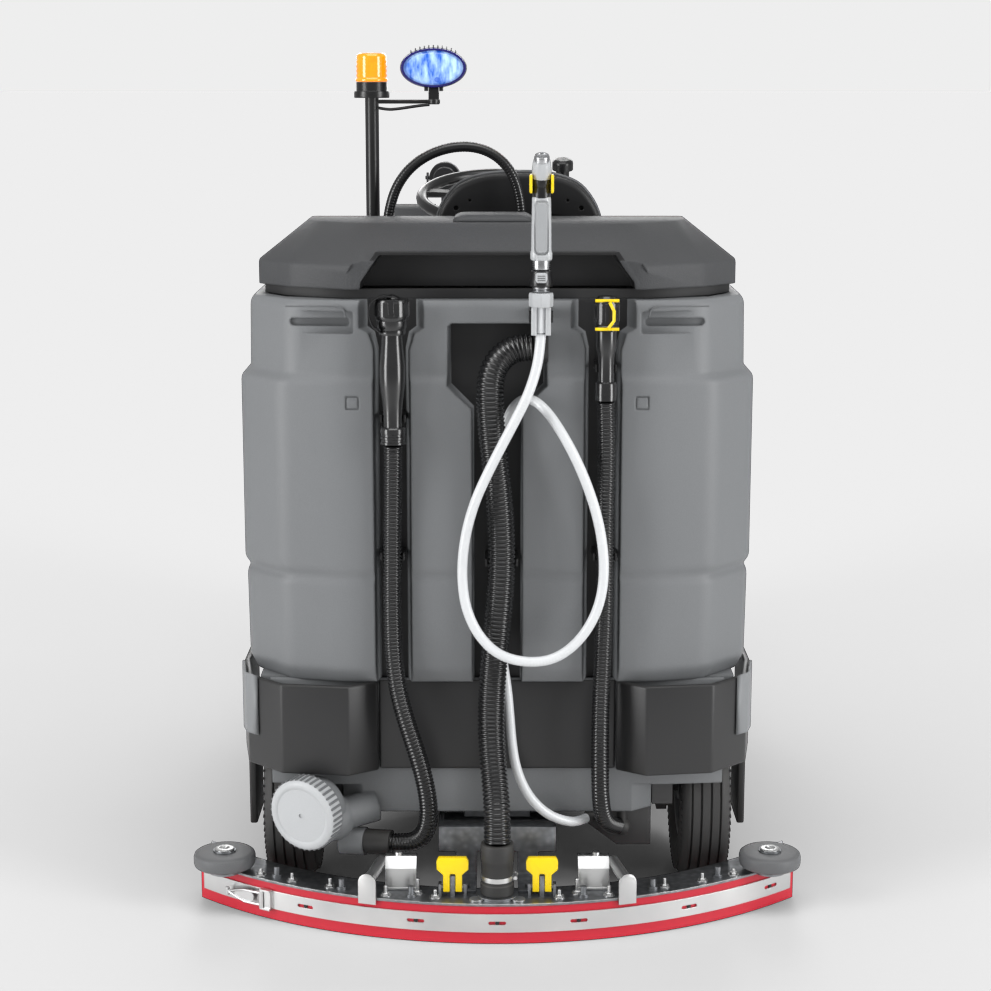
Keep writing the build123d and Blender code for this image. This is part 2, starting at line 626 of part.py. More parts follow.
export_step(clamp_strap.part, "parts/clamp_strap.step")

with BuildPart() as strap_latch:
    with BuildSketch(latch_plane.offset(2.3)):
        with Locations((-1, -7)):
            Circle(5.5)
        with Locations((-44, -8)):
            Rectangle(84, 4)
        with Locations((0, -7)):
            Circle(3 + running_gap, mode=Mode.SUBTRACT)
    extrude(amount=32.4)
strap_latch.part.label = "strap_latch"
export_step(strap_latch.part, "parts/strap_latch.step")

for side, name in ((-1, "left"), (1, "right")):
    with BuildPart() as roller:
        with Locations((side * roller_x, roller_y, roller_z)):
            Cylinder(roller_radius, roller_height, align=(Align.CENTER, Align.CENTER, Align.MIN))
        fillet(roller.edges().filter_by(GeomType.CIRCLE), 7)
        with Locations((side * roller_x, roller_y, roller_z - 1)):
            Cylinder(8 + running_gap, roller_height + 2, align=(Align.CENTER, Align.CENTER, Align.MIN),
                     mode=Mode.SUBTRACT)
    roller.part.label = f"roller_{name}"
    export_step(roller.part, f"parts/roller_{name}.step")

    with BuildPart() as clamp_lever:
        with BuildSketch(Plane.XZ.offset(-(lever_y + 7))):
            with Locations((side * lever_x, 0)):
                Polygon((-18, 90), (-18, 124), (-30, 134), (-30, 150), (-26, 158), (26, 158), (30, 150),
                        (30, 134), (18, 124), (18, 90), (5.5, 90), (5.5, 126), (-5.5, 126), (-5.5, 90),
                        align=None)
        extrude(amount=14)
        with BuildSketch(Plane.YZ.offset(side * lever_x - 25)):
            with Locations((lever_y, lever_z)):
                Circle(4 + running_gap)
        extrude(amount=50, mode=Mode.SUBTRACT)
    clamp_lever.part.label = f"clamp_lever_{name}"
    export_step(clamp_lever.part, f"parts/clamp_lever_{name}.step")

with BuildPart() as hold_down_brackets:
    for side in (-1, 1):
        ear_x, ear_y = arc_point(squeegee_radius + 2.2, side * 247)
        ear_turn = degrees(atan2(ear_x, squeegee_y - ear_y))
        facing = (sin(radians(ear_turn)), -cos(radians(ear_turn)), 0)
        ear_plane = Plane(origin=(ear_x, ear_y, 0), x_dir=(-facing[1], facing[0], 0), z_dir=facing)
        with BuildSketch(ear_plane.offset(-1.5)):
            with Locations((0, 90)):
                Rectangle(35, 42)
            with Locations((0, 111)):
                Circle(17.5)
        extrude(amount=4)
        # Tube from the ear to the bent sheet on the plate.
        tube_start = Vector(ear_x, ear_y, 112)
        tube_end = Vector(side * 222, rear_y + 103, 130)
        with BuildSketch(Plane(origin=tube_start, z_dir=tube_end - tube_start)):
            Circle(11.5)
        extrude(amount=(tube_end - tube_start).length)
        with BuildSketch(Plane.YZ.offset(side * 185 - 30)):
            Polygon((rear_y + 78, plate_top + seat_gap), (rear_y + 78, 122), (rear_y + 98, 140),
                    (rear_y + 114, 140), (rear_y + 114, 136), (rear_y + 100, 136), (rear_y + 82, 120),
                    (rear_y + 82, plate_top + seat_gap), align=None)
        extrude(amount=60)
        with Locations((side * 185, rear_y + 84, plate_top + seat_gap)):
            Box(60, 20, 4, align=(Align.CENTER, Align.CENTER, Align.MIN))
        with Locations((side * 190, rear_y + 106, 139)):
            Cylinder(7, 7, align=(Align.CENTER, Align.CENTER, Align.MIN))
hold_down_brackets.part.label = "hold_down_brackets"
export_step(hold_down_brackets.part, "parts/hold_down_brackets.step")

with BuildPart() as squeegee_cuff:
    with Locations((0, cuff_y, plate_top + 5 + seat_gap)):
        Cylinder(31.5, 22, align=(Align.CENTER, Align.CENTER, Align.MIN))
        Cylinder(30, 100, align=(Align.CENTER, Align.CENTER, Align.MIN))
        Cylinder(26 + seat_gap, 30, align=(Align.CENTER, Align.CENTER, Align.MIN), mode=Mode.SUBTRACT)
        Cylinder(21, 101, align=(Align.CENTER, Align.CENTER, Align.MIN), mode=Mode.SUBTRACT)
squeegee_cuff.part.label = "squeegee_cuff"
export_step(squeegee_cuff.part, "parts/squeegee_cuff.step")

# ---- Brush deck ----------------------------------------------------------------------------
with BuildPart() as deck_housing:
    with BuildSketch(Plane.XY.offset(30)):
        with Locations((0, deck_y)):
            SlotOverall(2 * (brush_x + brush_radius + 26), 2 * (brush_radius + 26))
    extrude(amount=deck_top - 30)
    with BuildSketch(Plane.XY.offset(29)):
        with Locations((0, deck_y)):
            SlotOverall(2 * (brush_x + brush_radius + 20), 2 * (brush_radius + 20))
    extrude(amount=deck_top - deck_wall - 29, mode=Mode.SUBTRACT)
    # Brush motors with their shafts, and the lift posts.
    with Locations(*[(side * brush_x, deck_y, deck_top) for side in (-1, 1)]):
        Cylinder(60, 120, align=(Align.CENTER, Align.CENTER, Align.MIN))
        Cylinder(shaft_radius, 78, align=(Align.CENTER, Align.CENTER, Align.MAX))
    with Locations(*[(side * rail_x, deck_y, deck_top - 2) for side in (-1, 1)]):
        Cylinder(10, 142, align=(Align.CENTER, Align.CENTER, Align.MIN))
deck_housing.part.label = "deck_housing"
export_step(deck_housing.part, "parts/deck_housing.step")

for side, name in ((-1, "left"), (1, "right")):
    with BuildPart() as brush:
        with BuildSketch(Plane(origin=(side * brush_x, deck_y, 0), x_dir=(1, 0, 0), z_dir=(0, -1, 0))):
            Polygon((shaft_radius + running_gap, 46), (shaft_radius + running_gap, 84), (32, 84), (32, 66),
                    (brush_radius - 14, 60), (brush_radius - 8, 46), (brush_radius, 2), (60, 2),
                    (72, 46), align=None)
        revolve(axis=Axis((side * brush_x, deck_y, 0), (0, 0, 1)))
    brush.part.label = f"brush_{name}"
    export_step(brush.part, f"parts/brush_{name}.step")

# ---- Batteries and seat console ------------------------------------------------------------
console_back = tank_front + seat_gap
with BuildPart() as battery_pack:
    battery_length = (console_front - console_back - 60) / 2
    battery_y = (console_front + console_back) / 2
    for side in (-1, 1):
        for end in (-1, 1):
            middle = battery_y + end * (battery_length / 2 + 3)
            with Locations((side * 195, middle, footboard_top + seat_gap)):
                Box(340, battery_length, 290, align=(Align.CENTER, Align.CENTER, Align.MIN))
battery_pack.part.label = "battery_pack"
export_step(battery_pack.part, "parts/battery_pack.step")

with BuildPart() as seat_console:
    for inset, top, mode in ((0, console_top, Mode.ADD),
                             (frame_wall, console_top - frame_wall, Mode.SUBTRACT)):
        for height, half_x, back, front in ((footboard_top + seat_gap - (1 if inset else 0), 468, 0, 0),
                                            (top - 60, 448, 0, 12), (top, 405, 0, 40)):
            with BuildSketch(Plane.XY.offset(height)):
                Polygon(*mirrored([(half_x - inset, console_back + back + inset),
                                   (half_x - inset, console_front - front - 60 - inset),
                                   (half_x - 60 - inset, console_front - front - inset)]), align=None)
        loft(ruled=True, mode=mode)
    # Rear deck behind the seat, level with the recovery tank's front deck.
    with Locations((0, console_back, console_top - 1)):
        Box(700, 6, 300, align=(Align.CENTER, Align.MIN, Align.MIN))
seat_console.part.label = "seat_console"
export_step(seat_console.part, "parts/seat_console.step")

# ---- Footboard -----------------------------------------------------------------------------
pedal_y = front_y - 395
pedals = ((150, 70), (-150, 90))   # middle and width of the accelerator and the brake
with BuildPart() as footboard:
    with BuildSketch(Plane.XY.offset(fresh_top + seat_gap)):
        Polygon(*mirrored([(fresh_wing, console_back), (fresh_wing, front_y - 480),
                           (fresh_wing - 70, front_y - 350)]), align=None)
    extrude(amount=footboard_top - fresh_top - seat_gap)
    with Locations(*[(0, console_front + 40 + 36 * step, footboard_top) for step in range(10)]):
        Box(2 * fresh_wing - 160, 14, 2.5, align=(Align.CENTER, Align.CENTER, Align.MIN))
    # Lugs and pins that carry the pedals.
    for x, width in pedals:
        with Locations(*[(x + side * (width / 2 + 4), pedal_y - 90, footboard_top) for side in (-1, 1)]):
            Box(6, 20, 22, align=(Align.CENTER, Align.CENTER, Align.MIN))
        with Locations(Location((x, pedal_y - 90, 494), (0, 90, 0))):
            Cylinder(4, width + 12)
footboard.part.label = "footboard"
export_step(footboard.part, "parts/footboard.step")

# ---- Front cowl ----------------------------------------------------------------------------
cowl_back = front_y - 495
cowl_top = 1080
with BuildPart() as front_cowl:
    for inset, mode in ((0, Mode.ADD), (frame_wall, Mode.SUBTRACT)):
        # Nose around the drive wheel, open underneath.
        for height, half_x, front in ((205 - (1 if inset else 0), 400, front_y - 25), (270, 440, front_y),
                                      (fresh_top - inset, 440, front_y)):
            with BuildSketch(Plane.XY.offset(height)):
                Polygon(*mirrored([(half_x - inset, cowl_back + inset), (half_x - inset, front - 150),
                                   (half_x - 170, front - inset)]), align=None)
        loft(ruled=True, mode=mode)
    for inset, mode in ((0, Mode.ADD), (frame_wall, Mode.SUBTRACT)):
        start = fresh_top - (inset + 1 if inset else 0)
        for height, half_x, back, front in ((start, 400, front_y - 345, front_y - 8),
                                            (820, 300, front_y - 420, front_y - 90),
                                            (cowl_top - inset, 255, front_y - 520, front_y - 200)):
            with BuildSketch(Plane.XY.offset(height)):
                Polygon(*mirrored([(half_x - inset, back + inset), (half_x - inset, front - 90),
                                   (half_x - 110, front - inset)]), align=None)
        loft(ruled=True, mode=mode)
    # The rails and the fresh tank's nose come in from behind.
    with Locations((0, cowl_back, 200)):
        Box(2 * 380, 60, 255, align=(Align.CENTER, Align.CENTER, Align.MIN), mode=Mode.SUBTRACT)
    # Seats for the headlights.
    for side in (-1, 1):
        with BuildSketch(Plane.XZ.offset(-(front_y + 5))):
            with Locations((side * 190, 400)):
                RectangleRounded(120, 60, 20)
        extrude(amount=21, mode=Mode.SUBTRACT)
front_cowl.part.label = "front_cowl"
export_step(front_cowl.part, "parts/front_cowl.step")

with BuildPart() as headlights:
    for side in (-1, 1):
        with BuildSketch(Plane.XZ.offset(-(front_y - 3))):
            with Locations((side * 190, 400)):
                RectangleRounded(120 - 2 * seat_gap, 60 - 2 * seat_gap, 19)
        extrude(amount=24)
headlights.part.label = "headlights"
export_step(headlights.part, "parts/headlights.step")

# ---- Dashboard with steering column and stalks ---------------------------------------------
steer_up = Vector(0, -sin(radians(steering_tilt)), cos(radians(steering_tilt)))
steer_origin = Vector(*wheel_centre)
column_end = steer_origin - steer_up * 70
column_start = steer_origin - steer_up * 250
dash_back = front_y - 600
work_light_place = (-128, front_y - 330, 1366)
with BuildPart() as dashboard:
    with BuildSketch(Plane.YZ.offset(-255)):
        Polygon((dash_back, 1090), (dash_back, 1120), (dash_back + 60, 1140), (front_y - 330, 1165),
                (front_y - 205, 1120), (front_y - 205, cowl_top + seat_gap),
                (dash_back + 60, cowl_top + seat_gap), align=None)
    extrude(amount=510)
    with BuildSketch(Plane(origin=column_start, z_dir=steer_up)):
        Circle(32)
    extrude(amount=(column_end - column_start).length)
    with BuildSketch(Plane(origin=column_start + steer_up * 60, z_dir=steer_up)):
        Circle(12 + running_gap)
    extrude(amount=200, mode=Mode.SUBTRACT)
    # Display on the left and the stalk of the work light.
    with BuildSketch(Plane.YZ.offset(-250)):
        Polygon((front_y - 400, 1140), (front_y - 420, 1295), (front_y - 385, 1304), (front_y - 360, 1140),
                align=None)
    extrude(amount=100)
    with Locations((work_light_place[0], work_light_place[1], 1150)):
        Cylinder(9, work_light_place[2] - 1150 - 44, align=(Align.CENTER, Align.CENTER, Align.MIN))
    for side in (-1, 1):
        with Locations((work_light_place[0] + side * 43, work_light_place[1], work_light_place[2] - 48)):
            Box(4, 18, 60, align=(Align.CENTER, Align.CENTER, Align.MIN))
    with Locations((work_light_place[0], work_light_place[1], work_light_place[2] - 48)):
        Box(90, 18, 4, align=(Align.CENTER, Align.CENTER, Align.MIN))
    with BuildSketch(Plane.YZ.offset(work_light_place[0] - 50)):
        with Locations((work_light_place[1], work_light_place[2])):
            Circle(4 + running_gap)
    extrude(amount=100, mode=Mode.SUBTRACT)
    # Bores for the emergency stop and the key switch.
    switch_y = front_y - 480
    for x, radius in ((180, 9), (100, 8)):
        with Locations((x, switch_y, 1180)):
            Cylinder(radius + 0.3, 70, align=(Align.CENTER, Align.CENTER, Align.MAX), mode=Mode.SUBTRACT)
dashboard.part.label = "dashboard"
export_step(dashboard.part, "parts/dashboard.step")

switch_z = 1146
with BuildPart() as emergency_stop:
    with Locations((180, switch_y, switch_z + 12)):
        Cylinder(21, 16, align=(Align.CENTER, Align.CENTER, Align.MIN))
    fillet(emergency_stop.edges().filter_by(GeomType.CIRCLE).group_by(Axis.Z)[-1], 5)
    with Locations((180, switch_y, switch_z + 13)):
        Cylinder(9, 40, align=(Align.CENTER, Align.CENTER, Align.MAX))
emergency_stop.part.label = "emergency_stop"
export_step(emergency_stop.part, "parts/emergency_stop.step")

with BuildPart() as key_switch:
    with Locations((100, switch_y, switch_z + 4)):
        Cylinder(8, 40, align=(Align.CENTER, Align.CENTER, Align.MAX))
        Cylinder(12, 5, align=(Align.CENTER, Align.CENTER, Align.MIN))
        Box(4, 20, 26, align=(Align.CENTER, Align.CENTER, Align.MIN))
key_switch.part.label = "key_switch"
export_step(key_switch.part, "parts/key_switch.step")

# ---- Steering wheel ------------------------------------------------------------------------
steer_plane = Plane(origin=steer_origin, x_dir=(1, 0, 0), z_dir=steer_up)
knob_angle = 27.6
with BuildPart() as steering_wheel:
    with BuildSketch(Plane(origin=steer_origin, x_dir=(1, 0, 0), z_dir=steer_up.cross(Vector(1, 0, 0)) * -1)):
        with Locations((steering_radius, 0)):
            Circle(steering_rim)
    revolve(axis=Axis(steer_origin, steer_up))
    with BuildSketch(steer_plane.offset(-12)):
        Circle(38)
    extrude(amount=24)
    for angle in (12, 168, 270):
        with BuildSketch(steer_plane.offset(-5)):
            with Locations(Location((0, 0, 0), (0, 0, angle))):
                with Locations((steering_radius / 2 + 8, 0)):
                    Rectangle(steering_radius - 20, 30)
        extrude(amount=10)
    with BuildSketch(steer_plane.offset(-160)):
        Circle(12)
    extrude(amount=150)
    # Stem of the spinner knob.
    knob_place = (steering_radius * cos(radians(knob_angle)), steering_radius * sin(radians(knob_angle)), 0)
    with BuildSketch(steer_plane):
        with Locations(knob_place):
            Circle(5)
    extrude(amount=62)
steering_wheel.part.label = "steering_wheel"
export_step(steering_wheel.part, "parts/steering_wheel.step")

with BuildPart() as steering_knob:
    knob_plane = Plane(origin=steer_plane.from_local_coords(knob_place), x_dir=(1, 0, 0), z_dir=steer_up)
    for offset, radius, amount in ((18, 15, 28), (42, 24, 24)):
        with BuildSketch(knob_plane.offset(offset)):
            Circle(radius)
        extrude(amount=amount)
    fillet(steering_knob.edges().filter_by(GeomType.CIRCLE).group_by(Axis.Z)[-1], 9)
    with BuildSketch(knob_plane.offset(17)):
        Circle(5 + running_gap)
    extrude(amount=45.5, mode=Mode.SUBTRACT)
steering_knob.part.label = "steering_knob"
export_step(steering_knob.part, "parts/steering_knob.step")

# ---- Pedals --------------------------------------------------------------------------------
for (x, width), node in zip(pedals, ("accelerator_pedal", "brake_pedal")):
    with BuildPart() as pedal:
        with BuildSketch(Plane.YZ.offset(x - width / 2)):
            Polygon((pedal_y - 95, 492), (pedal_y - 92, 500), (pedal_y - 4, 545), (pedal_y + 8, 545),
                    (pedal_y + 10, 536), (pedal_y - 2, 532), (pedal_y - 86, 490), align=None)
            with Locations((pedal_y - 90, 494)):
                Circle(8)
            with Locations((pedal_y - 90, 494)):
                Circle(4 + running_gap, mode=Mode.SUBTRACT)
        extrude(amount=width)
    pedal.part.label = node
    export_step(pedal.part, f"parts/{node}.step")

# ---- Seat ----------------------------------------------------------------------------------
seat_back_y = tank_front - 4
with BuildPart() as seat_shell:
    # Runners, pan and back, with a recessed panel in the rear of the back.
    with Locations(*[(seat_x + side * 150, seat_back_y + 215, console_top + seat_gap) for side in (-1, 1)]):
        Box(40, 330, 18, align=(Align.CENTER, Align.CENTER, Align.MIN))
    with BuildSketch(Plane.XY.offset(console_top + 18)):
        with Locations((seat_x, seat_back_y + 222)):
            RectangleRounded(2 * seat_half, 396, 40)
    extrude(amount=cushion_z - console_top - 18 - seat_gap)
    lean = 7
    back_plane = Plane(origin=(seat_x, seat_back_y + 56, cushion_z), x_dir=(1, 0, 0),
                       z_dir=(0, -cos(radians(lean)), -sin(radians(lean))))
    back_outline = mirrored([(190, -22), (190, 300), (168, 430), (128, 498), (112, 510)])
    with BuildSketch(back_plane):
        Polygon(*back_outline, align=None)
    extrude(amount=-30)
    with BuildSketch(back_plane):
        Polygon(*mirrored([(160, 60), (156, 300), (138, 420), (112, 470)]), align=None)
    extrude(amount=-14, mode=Mode.SUBTRACT)
seat_shell.part.label = "seat_shell"
export_step(seat_shell.part, "parts/seat_shell.step")

with BuildPart() as seat_cushion:
    with BuildSketch(Plane.XY.offset(cushion_z)):
        with Locations((seat_x, seat_back_y + 262)):
            RectangleRounded(2 * seat_half - 10, 316, 50)
    extrude(amount=cushion_height)
    fillet(seat_cushion.edges().group_by(Axis.Z)[-1], 22)
seat_cushion.part.label = "seat_cushion"
export_step(seat_cushion.part, "parts/seat_cushion.step")

with BuildPart() as seat_back_cushion:
    with BuildSketch(back_plane.offset(-30 - seat_gap)):
        Polygon(*mirrored([(178, cushion_height + 12), (178, 300), (158, 424), (122, 492), (108, 518)]),
                align=None)
    extrude(amount=-58)
seat_back_cushion.part.label = "seat_back_cushion"
export_step(seat_back_cushion.part, "parts/seat_back_cushion.step")

# ---- Beacon and blue light -----------------------------------------------------------------
pole_x, pole_y = -253, tank_front - 15
pole_top = 1570
blue_centre = (-128, pole_y, 1630)
blue_pin_z = 1594
with BuildPart() as beacon_post:
    with Locations((pole_x, pole_y, tank_top + seat_gap)):
        Cylinder(30 / 2, 8, align=(Align.CENTER, Align.CENTER, Align.MIN))
        Cylinder(13.2, pole_top - tank_top, align=(Align.CENTER, Align.CENTER, Align.MIN))
    with Locations((pole_x, pole_y, pole_top)):
        Cylinder(35, 13, align=(Align.CENTER, Align.CENTER, Align.MIN))
        Cylinder(31, 31, align=(Align.CENTER, Align.CENTER, Align.MIN))
    # Side arm and fork for the blue light.
    with Locations(((pole_x + blue_centre[0]) / 2 + 6, pole_y, pole_top - 8)):
        Box(blue_centre[0] - pole_x + 12, 10, 7)
    with Locations((blue_centre[0], pole_y, pole_top - 8)):
        Cylinder(11, 10)
        Box(20, 16, 38, align=(Align.CENTER, Align.CENTER, Align.MIN))
    with Locations(Location((blue_centre[0], pole_y, blue_pin_z), (0, 90, 0))):
        Cylinder(4, 40)
beacon_post.part.label = "beacon_post"
export_step(beacon_post.part, "parts/beacon_post.step")

with BuildPart() as beacon_lens:
    with BuildSketch(Plane(origin=(pole_x, pole_y, 0), x_dir=(1, 0, 0), z_dir=(0, -1, 0))):
        lens_z = pole_top + 31 + seat_gap
        Polygon((0, lens_z), (32, lens_z), (32, lens_z + 4), (29, lens_z + 8), (31, lens_z + 14),
                (29, lens_z + 20), (31, lens_z + 26), (29, lens_z + 32), (31, lens_z + 38),
                (29, lens_z + 44), (30, lens_z + 50), (26, lens_z + 56), (0, lens_z + 57), align=None)
    revolve(axis=Axis((pole_x, pole_y, 0), (0, 0, 1)))
beacon_lens.part.label = "beacon_lens"
export_step(beacon_lens.part, "parts/beacon_lens.step")

with BuildPart() as blue_light:
    for offset, half_x, half_z in ((24, 67, 40), (2, 67, 40), (-34, 44, 26)):
        with BuildSketch(Plane.XZ.offset(-blue_centre[1] + offset)):
            with Locations((blue_centre[0], blue_centre[2])):
                Ellipse(half_x, half_z)
    loft(ruled=True)
    with BuildSketch(Plane.XZ.offset(-blue_centre[1] + 12)):
        with Locations((blue_centre[0], blue_centre[2])):
            Ellipse(60, 34)
    extrude(amount=20, mode=Mode.SUBTRACT)
    # Cooling fins along the top.
    with Locations(*[(blue_centre[0] + 9 * step, blue_centre[1] + 2, blue_centre[2] + 26)
                     for step in range(-4, 5)]):
        Box(3, 34, 19, align=(Align.CENTER, Align.CENTER, Align.MIN))
    # Pivot lugs and the slot that drops over the foot of the side arm.
    with Locations(*[(blue_centre[0] + side * 15, pole_y, blue_pin_z) for side in (-1, 1)]):
        Box(8, 18, 22)
    with Locations((blue_centre[0], pole_y, blue_pin_z - 12)):
        Box(22, 80, 24, align=(Align.CENTER, Align.CENTER, Align.MIN), mode=Mode.SUBTRACT)
    with Locations(Location((blue_centre[0], pole_y, blue_pin_z), (0, 90, 0))):
        Cylinder(4 + running_gap, 60, mode=Mode.SUBTRACT)
blue_light.part.label = "blue_light"
export_step(blue_light.part, "parts/blue_light.step")

with BuildPart() as work_light:
    with BuildSketch(Plane.XZ.offset(-work_light_place[1])):
        with Locations((work_light_place[0], work_light_place[2])):
            Circle(26)
    extrude(amount=34)
    for step in range(4):
        fin_y = work_light_place[1] - 30 + 11 * step
        with Locations(Location((work_light_place[0], fin_y, work_light_place[2]), (90, 0, 0))):
            Cylinder(37, 4)
    with BuildSketch(Plane.XZ.offset(-(work_light_place[1] + 24))):
        with Locations((work_light_place[0], work_light_place[2])):
            Circle(38)
    extrude(amount=24)
    with Locations(Location(work_light_place, (0, 90, 0))):
        Cylinder(4, 96)
work_light.part.label = "work_light"
export_step(work_light.part, "parts/work_light.step")

# ---- Spray gun -----------------------------------------------------------------------------
gun_x, gun_y = 80, tank_back - 51
trigger_z = 1412
with BuildPart() as spray_gun:
    with BuildSketch(Plane(origin=(gun_x, gun_y, 0), x_dir=(1, 0, 0), z_dir=(0, -1, 0))):
        Polygon((0, 1150), (10, 1150), (10, 1196), (13, 1198), (13, 1225), (11, 1227), (11, 1262),
                (13, 1264), (13, 1279), (12, 1281), (14, 1300), (14, 1345), (13, 1360), (15, 1385),
                (15, 1420), (12, 1428), (12, 1445), (10, 1448), (10, 1470), (11, 1472), (11, 1481),
                (0, 1481), align=None)
    revolve(axis=Axis((gun_x, gun_y, 0), (0, 0, 1)))
    for side in (-1, 1):
        with Locations((gun_x + side * 17, gun_y - 7, trigger_z + 3)):
            Box(5, 36, 26)
    with Locations((gun_x, gun_y + 6, trigger_z + 4)):
        Box(34, 12, 20)
    with Locations(Location((gun_x, gun_y - 19.5, trigger_z), (0, 90, 0))):
        Cylinder(2.5 + running_gap, 50, mode=Mode.SUBTRACT)
spray_gun.part.label = "spray_gun"
export_step(spray_gun.part, "parts/spray_gun.step")

with BuildPart() as gun_trigger:
    with BuildSketch(Plane.YZ.offset(gun_x - 8)):
        Polygon((gun_y - 22, trigger_z + 6), (gun_y - 16.5, trigger_z + 6), (gun_y - 18, trigger_z - 8),
                (gun_y - 20, trigger_z - 20), (gun_y - 28, trigger_z - 90), (gun_y - 34, trigger_z - 92),
                (gun_y - 26, trigger_z - 20), align=None)
    extrude(amount=16)
    with Locations((gun_x, gun_y - 19.5, trigger_z)):
        Box(28, 7, 12)
    with Locations(Location((gun_x, gun_y - 19.5, trigger_z), (0, 90, 0))):
        Cylinder(2.5, 38)
gun_trigger.part.label = "gun_trigger"
export_step(gun_trigger.part, "parts/gun_trigger.step")

# ---- Hoses: each a tube of straight runs and arcs ------------------------------------------
suction_route = [(66, -780, 1118), (40, -782, 1118), (16, -788, 1108), (-2, -795, 1090), (-12, -801, 1064),
                 (-14, -805, 1034), (-12, -805, 982), (-6, -803, 918), (2, -803, 852), (7, -802, 782),
                 (8.5, -803, 712), (5, -804, 642), (-1, -803, 577), (-7, -804, 512), (-11, -807, 450),
                 (-12, -814, 392), (-9, -829, 335), (-3, -850, 280), (0, -876, 234), (0, -880, 188)]
drain_route = [(-195, -795, 936), (-196, -790, 880), (-197.5, -788, 800), (-198.5, -788.5, 710),
               (-199.5, -788, 625), (-199, -789, 558), (-196, -793, 507), (-188.5, -800, 456),
               (-176, -806, 408), (-160, -808, 358), (-145, -808, 307), (-134, -806, 254),
               (-131, -800, 205), (-142, -792, 166), (-170, -783, 147), (-206, -774, 146)]
level_route = [(202, -795, 1018.5), (204.5, -791, 965), (205, -789, 890), (203, -790, 810),
               (203.5, -789.5, 725), (204, -790, 640), (202.5, -790, 570), (200.5, -794, 505),
               (198, -801, 445), (197, -805, 378), (197.5, -803, 312), (199, -796, 250), (205, -779, 203),
               (219, -756, 176), (235, -735, 166)]
spray_route = [(80, -826, 1148.4), (78, -829, 1116), (70, -836, 1076), (55, -844, 1034), (32, -849, 989),
               (5, -851, 938), (-18, -851, 892), (-40, -847, 843), (-56, -841, 790), (-65, -838, 734),
               (-66, -837, 680), (-58, -839, 628), (-35, -845, 580), (2, -852, 545), (52, -853, 531),
               (104, -848, 534), (148, -840, 562), (180, -833, 606), (197, -828, 655), (201, -826, 712),
               (195, -826, 768), (183, -826, 820), (165, -826, 872), (143, -825, 922), (118, -820, 966),
               (94, -808, 1000), (70, -790, 1020), (48, -770, 1020), (28, -756, 1000), (14, -752, 965),
               (7, -752, 915), (5, -752, 862), (3, -751, 800), (4, -752, 726), (3, -751, 648),
               (4, -754, 574), (10, -764, 512), (19, -775, 458), (24, -782, 402), (28, -789, 350),
               (37, -796, 300), (58, -799, 252), (92, -796, 214), (128, -784, 194), (156, -765, 185),
               (174, -745, 186)]
arc_route = [(-223, -376, 1216), (-225, -376, 1258), (-224, -375, 1304), (-218, -375, 1350),
             (-203, -376, 1396), (-172, -376, 1436), (-128, -376, 1463), (-76, -376, 1475),
             (-30, -376, 1470), (8, -376, 1449), (34, -376, 1414), (47, -376, 1368), (51, -375, 1316),
             (50, -375, 1264), (50, -376, 1216)]
cable_route = [(-241.2, -353, 1550), (-222, -358, 1546), (-198, -359, 1548), (-172, -359, 1552),
               (-150, -358, 1555), (-137, -355, 1556)]
for node, route, diameter in (("suction_hose", suction_route, suction_diameter),
                              ("drain_hose", drain_route, drain_diameter),
                              ("level_hose", level_route, level_diameter),
                              ("spray_hose", spray_route, spray_diameter),
                              ("arc_hose", arc_route, arc_diameter),
                              ("light_cable", cable_route, cable_diameter)):
    radii = bend_radii(route)
    with BuildPart() as hose:
        with BuildLine() as path:
            FilletPolyline(*route, radius=radii)
        with BuildSketch(Plane(origin=path.line @ 0, z_dir=path.line % 0)):
            Circle(diameter / 2)
        sweep(path=path.line)
    route_length = sum(edge.length for edge in path.edges())
    print(node, "length", round(route_length), "radii", [round(radius) for radius in radii])
    hose.part.label = node
    export_step(hose.part, f"parts/{node}.step")

# ---- Grips at the tops of the drain and level hoses ----------------------------------------
def down_the_hose(x, y, profile):
    """A turned piece about the upright line through x, y."""
    with BuildSketch(Plane(origin=(x, y, 0), x_dir=(1, 0, 0), z_dir=(0, -1, 0))) as half_section:
        Polygon((0, profile[0][1]), *profile, (0, profile[-1][1]), align=None)
    revolve(half_section.sketch, axis=Axis((x, y, 0), (0, 0, 1)))


with BuildPart() as hose_grips:
    down_the_hose(-195, -795, [(24, 938.3), (24, 970), (19, 972), (18, 1000), (24, 1050), (24, 1090),
                               (19, 1140), (24, 1146), (30, 1148), (30, 1176), (32, 1178), (32, 1206),
                               (27, 1210), (25, 1218)])
    down_the_hose(202, -795, [(20, 1020.3), (20, 1054), (15, 1056), (15, 1110), (19, 1118), (19, 1150),
                              (23, 1152), (23, 1206), (18, 1216)])
hose_grips.part.label = "hose_grips"
export_step(hose_grips.part, "parts/hose_grips.step")

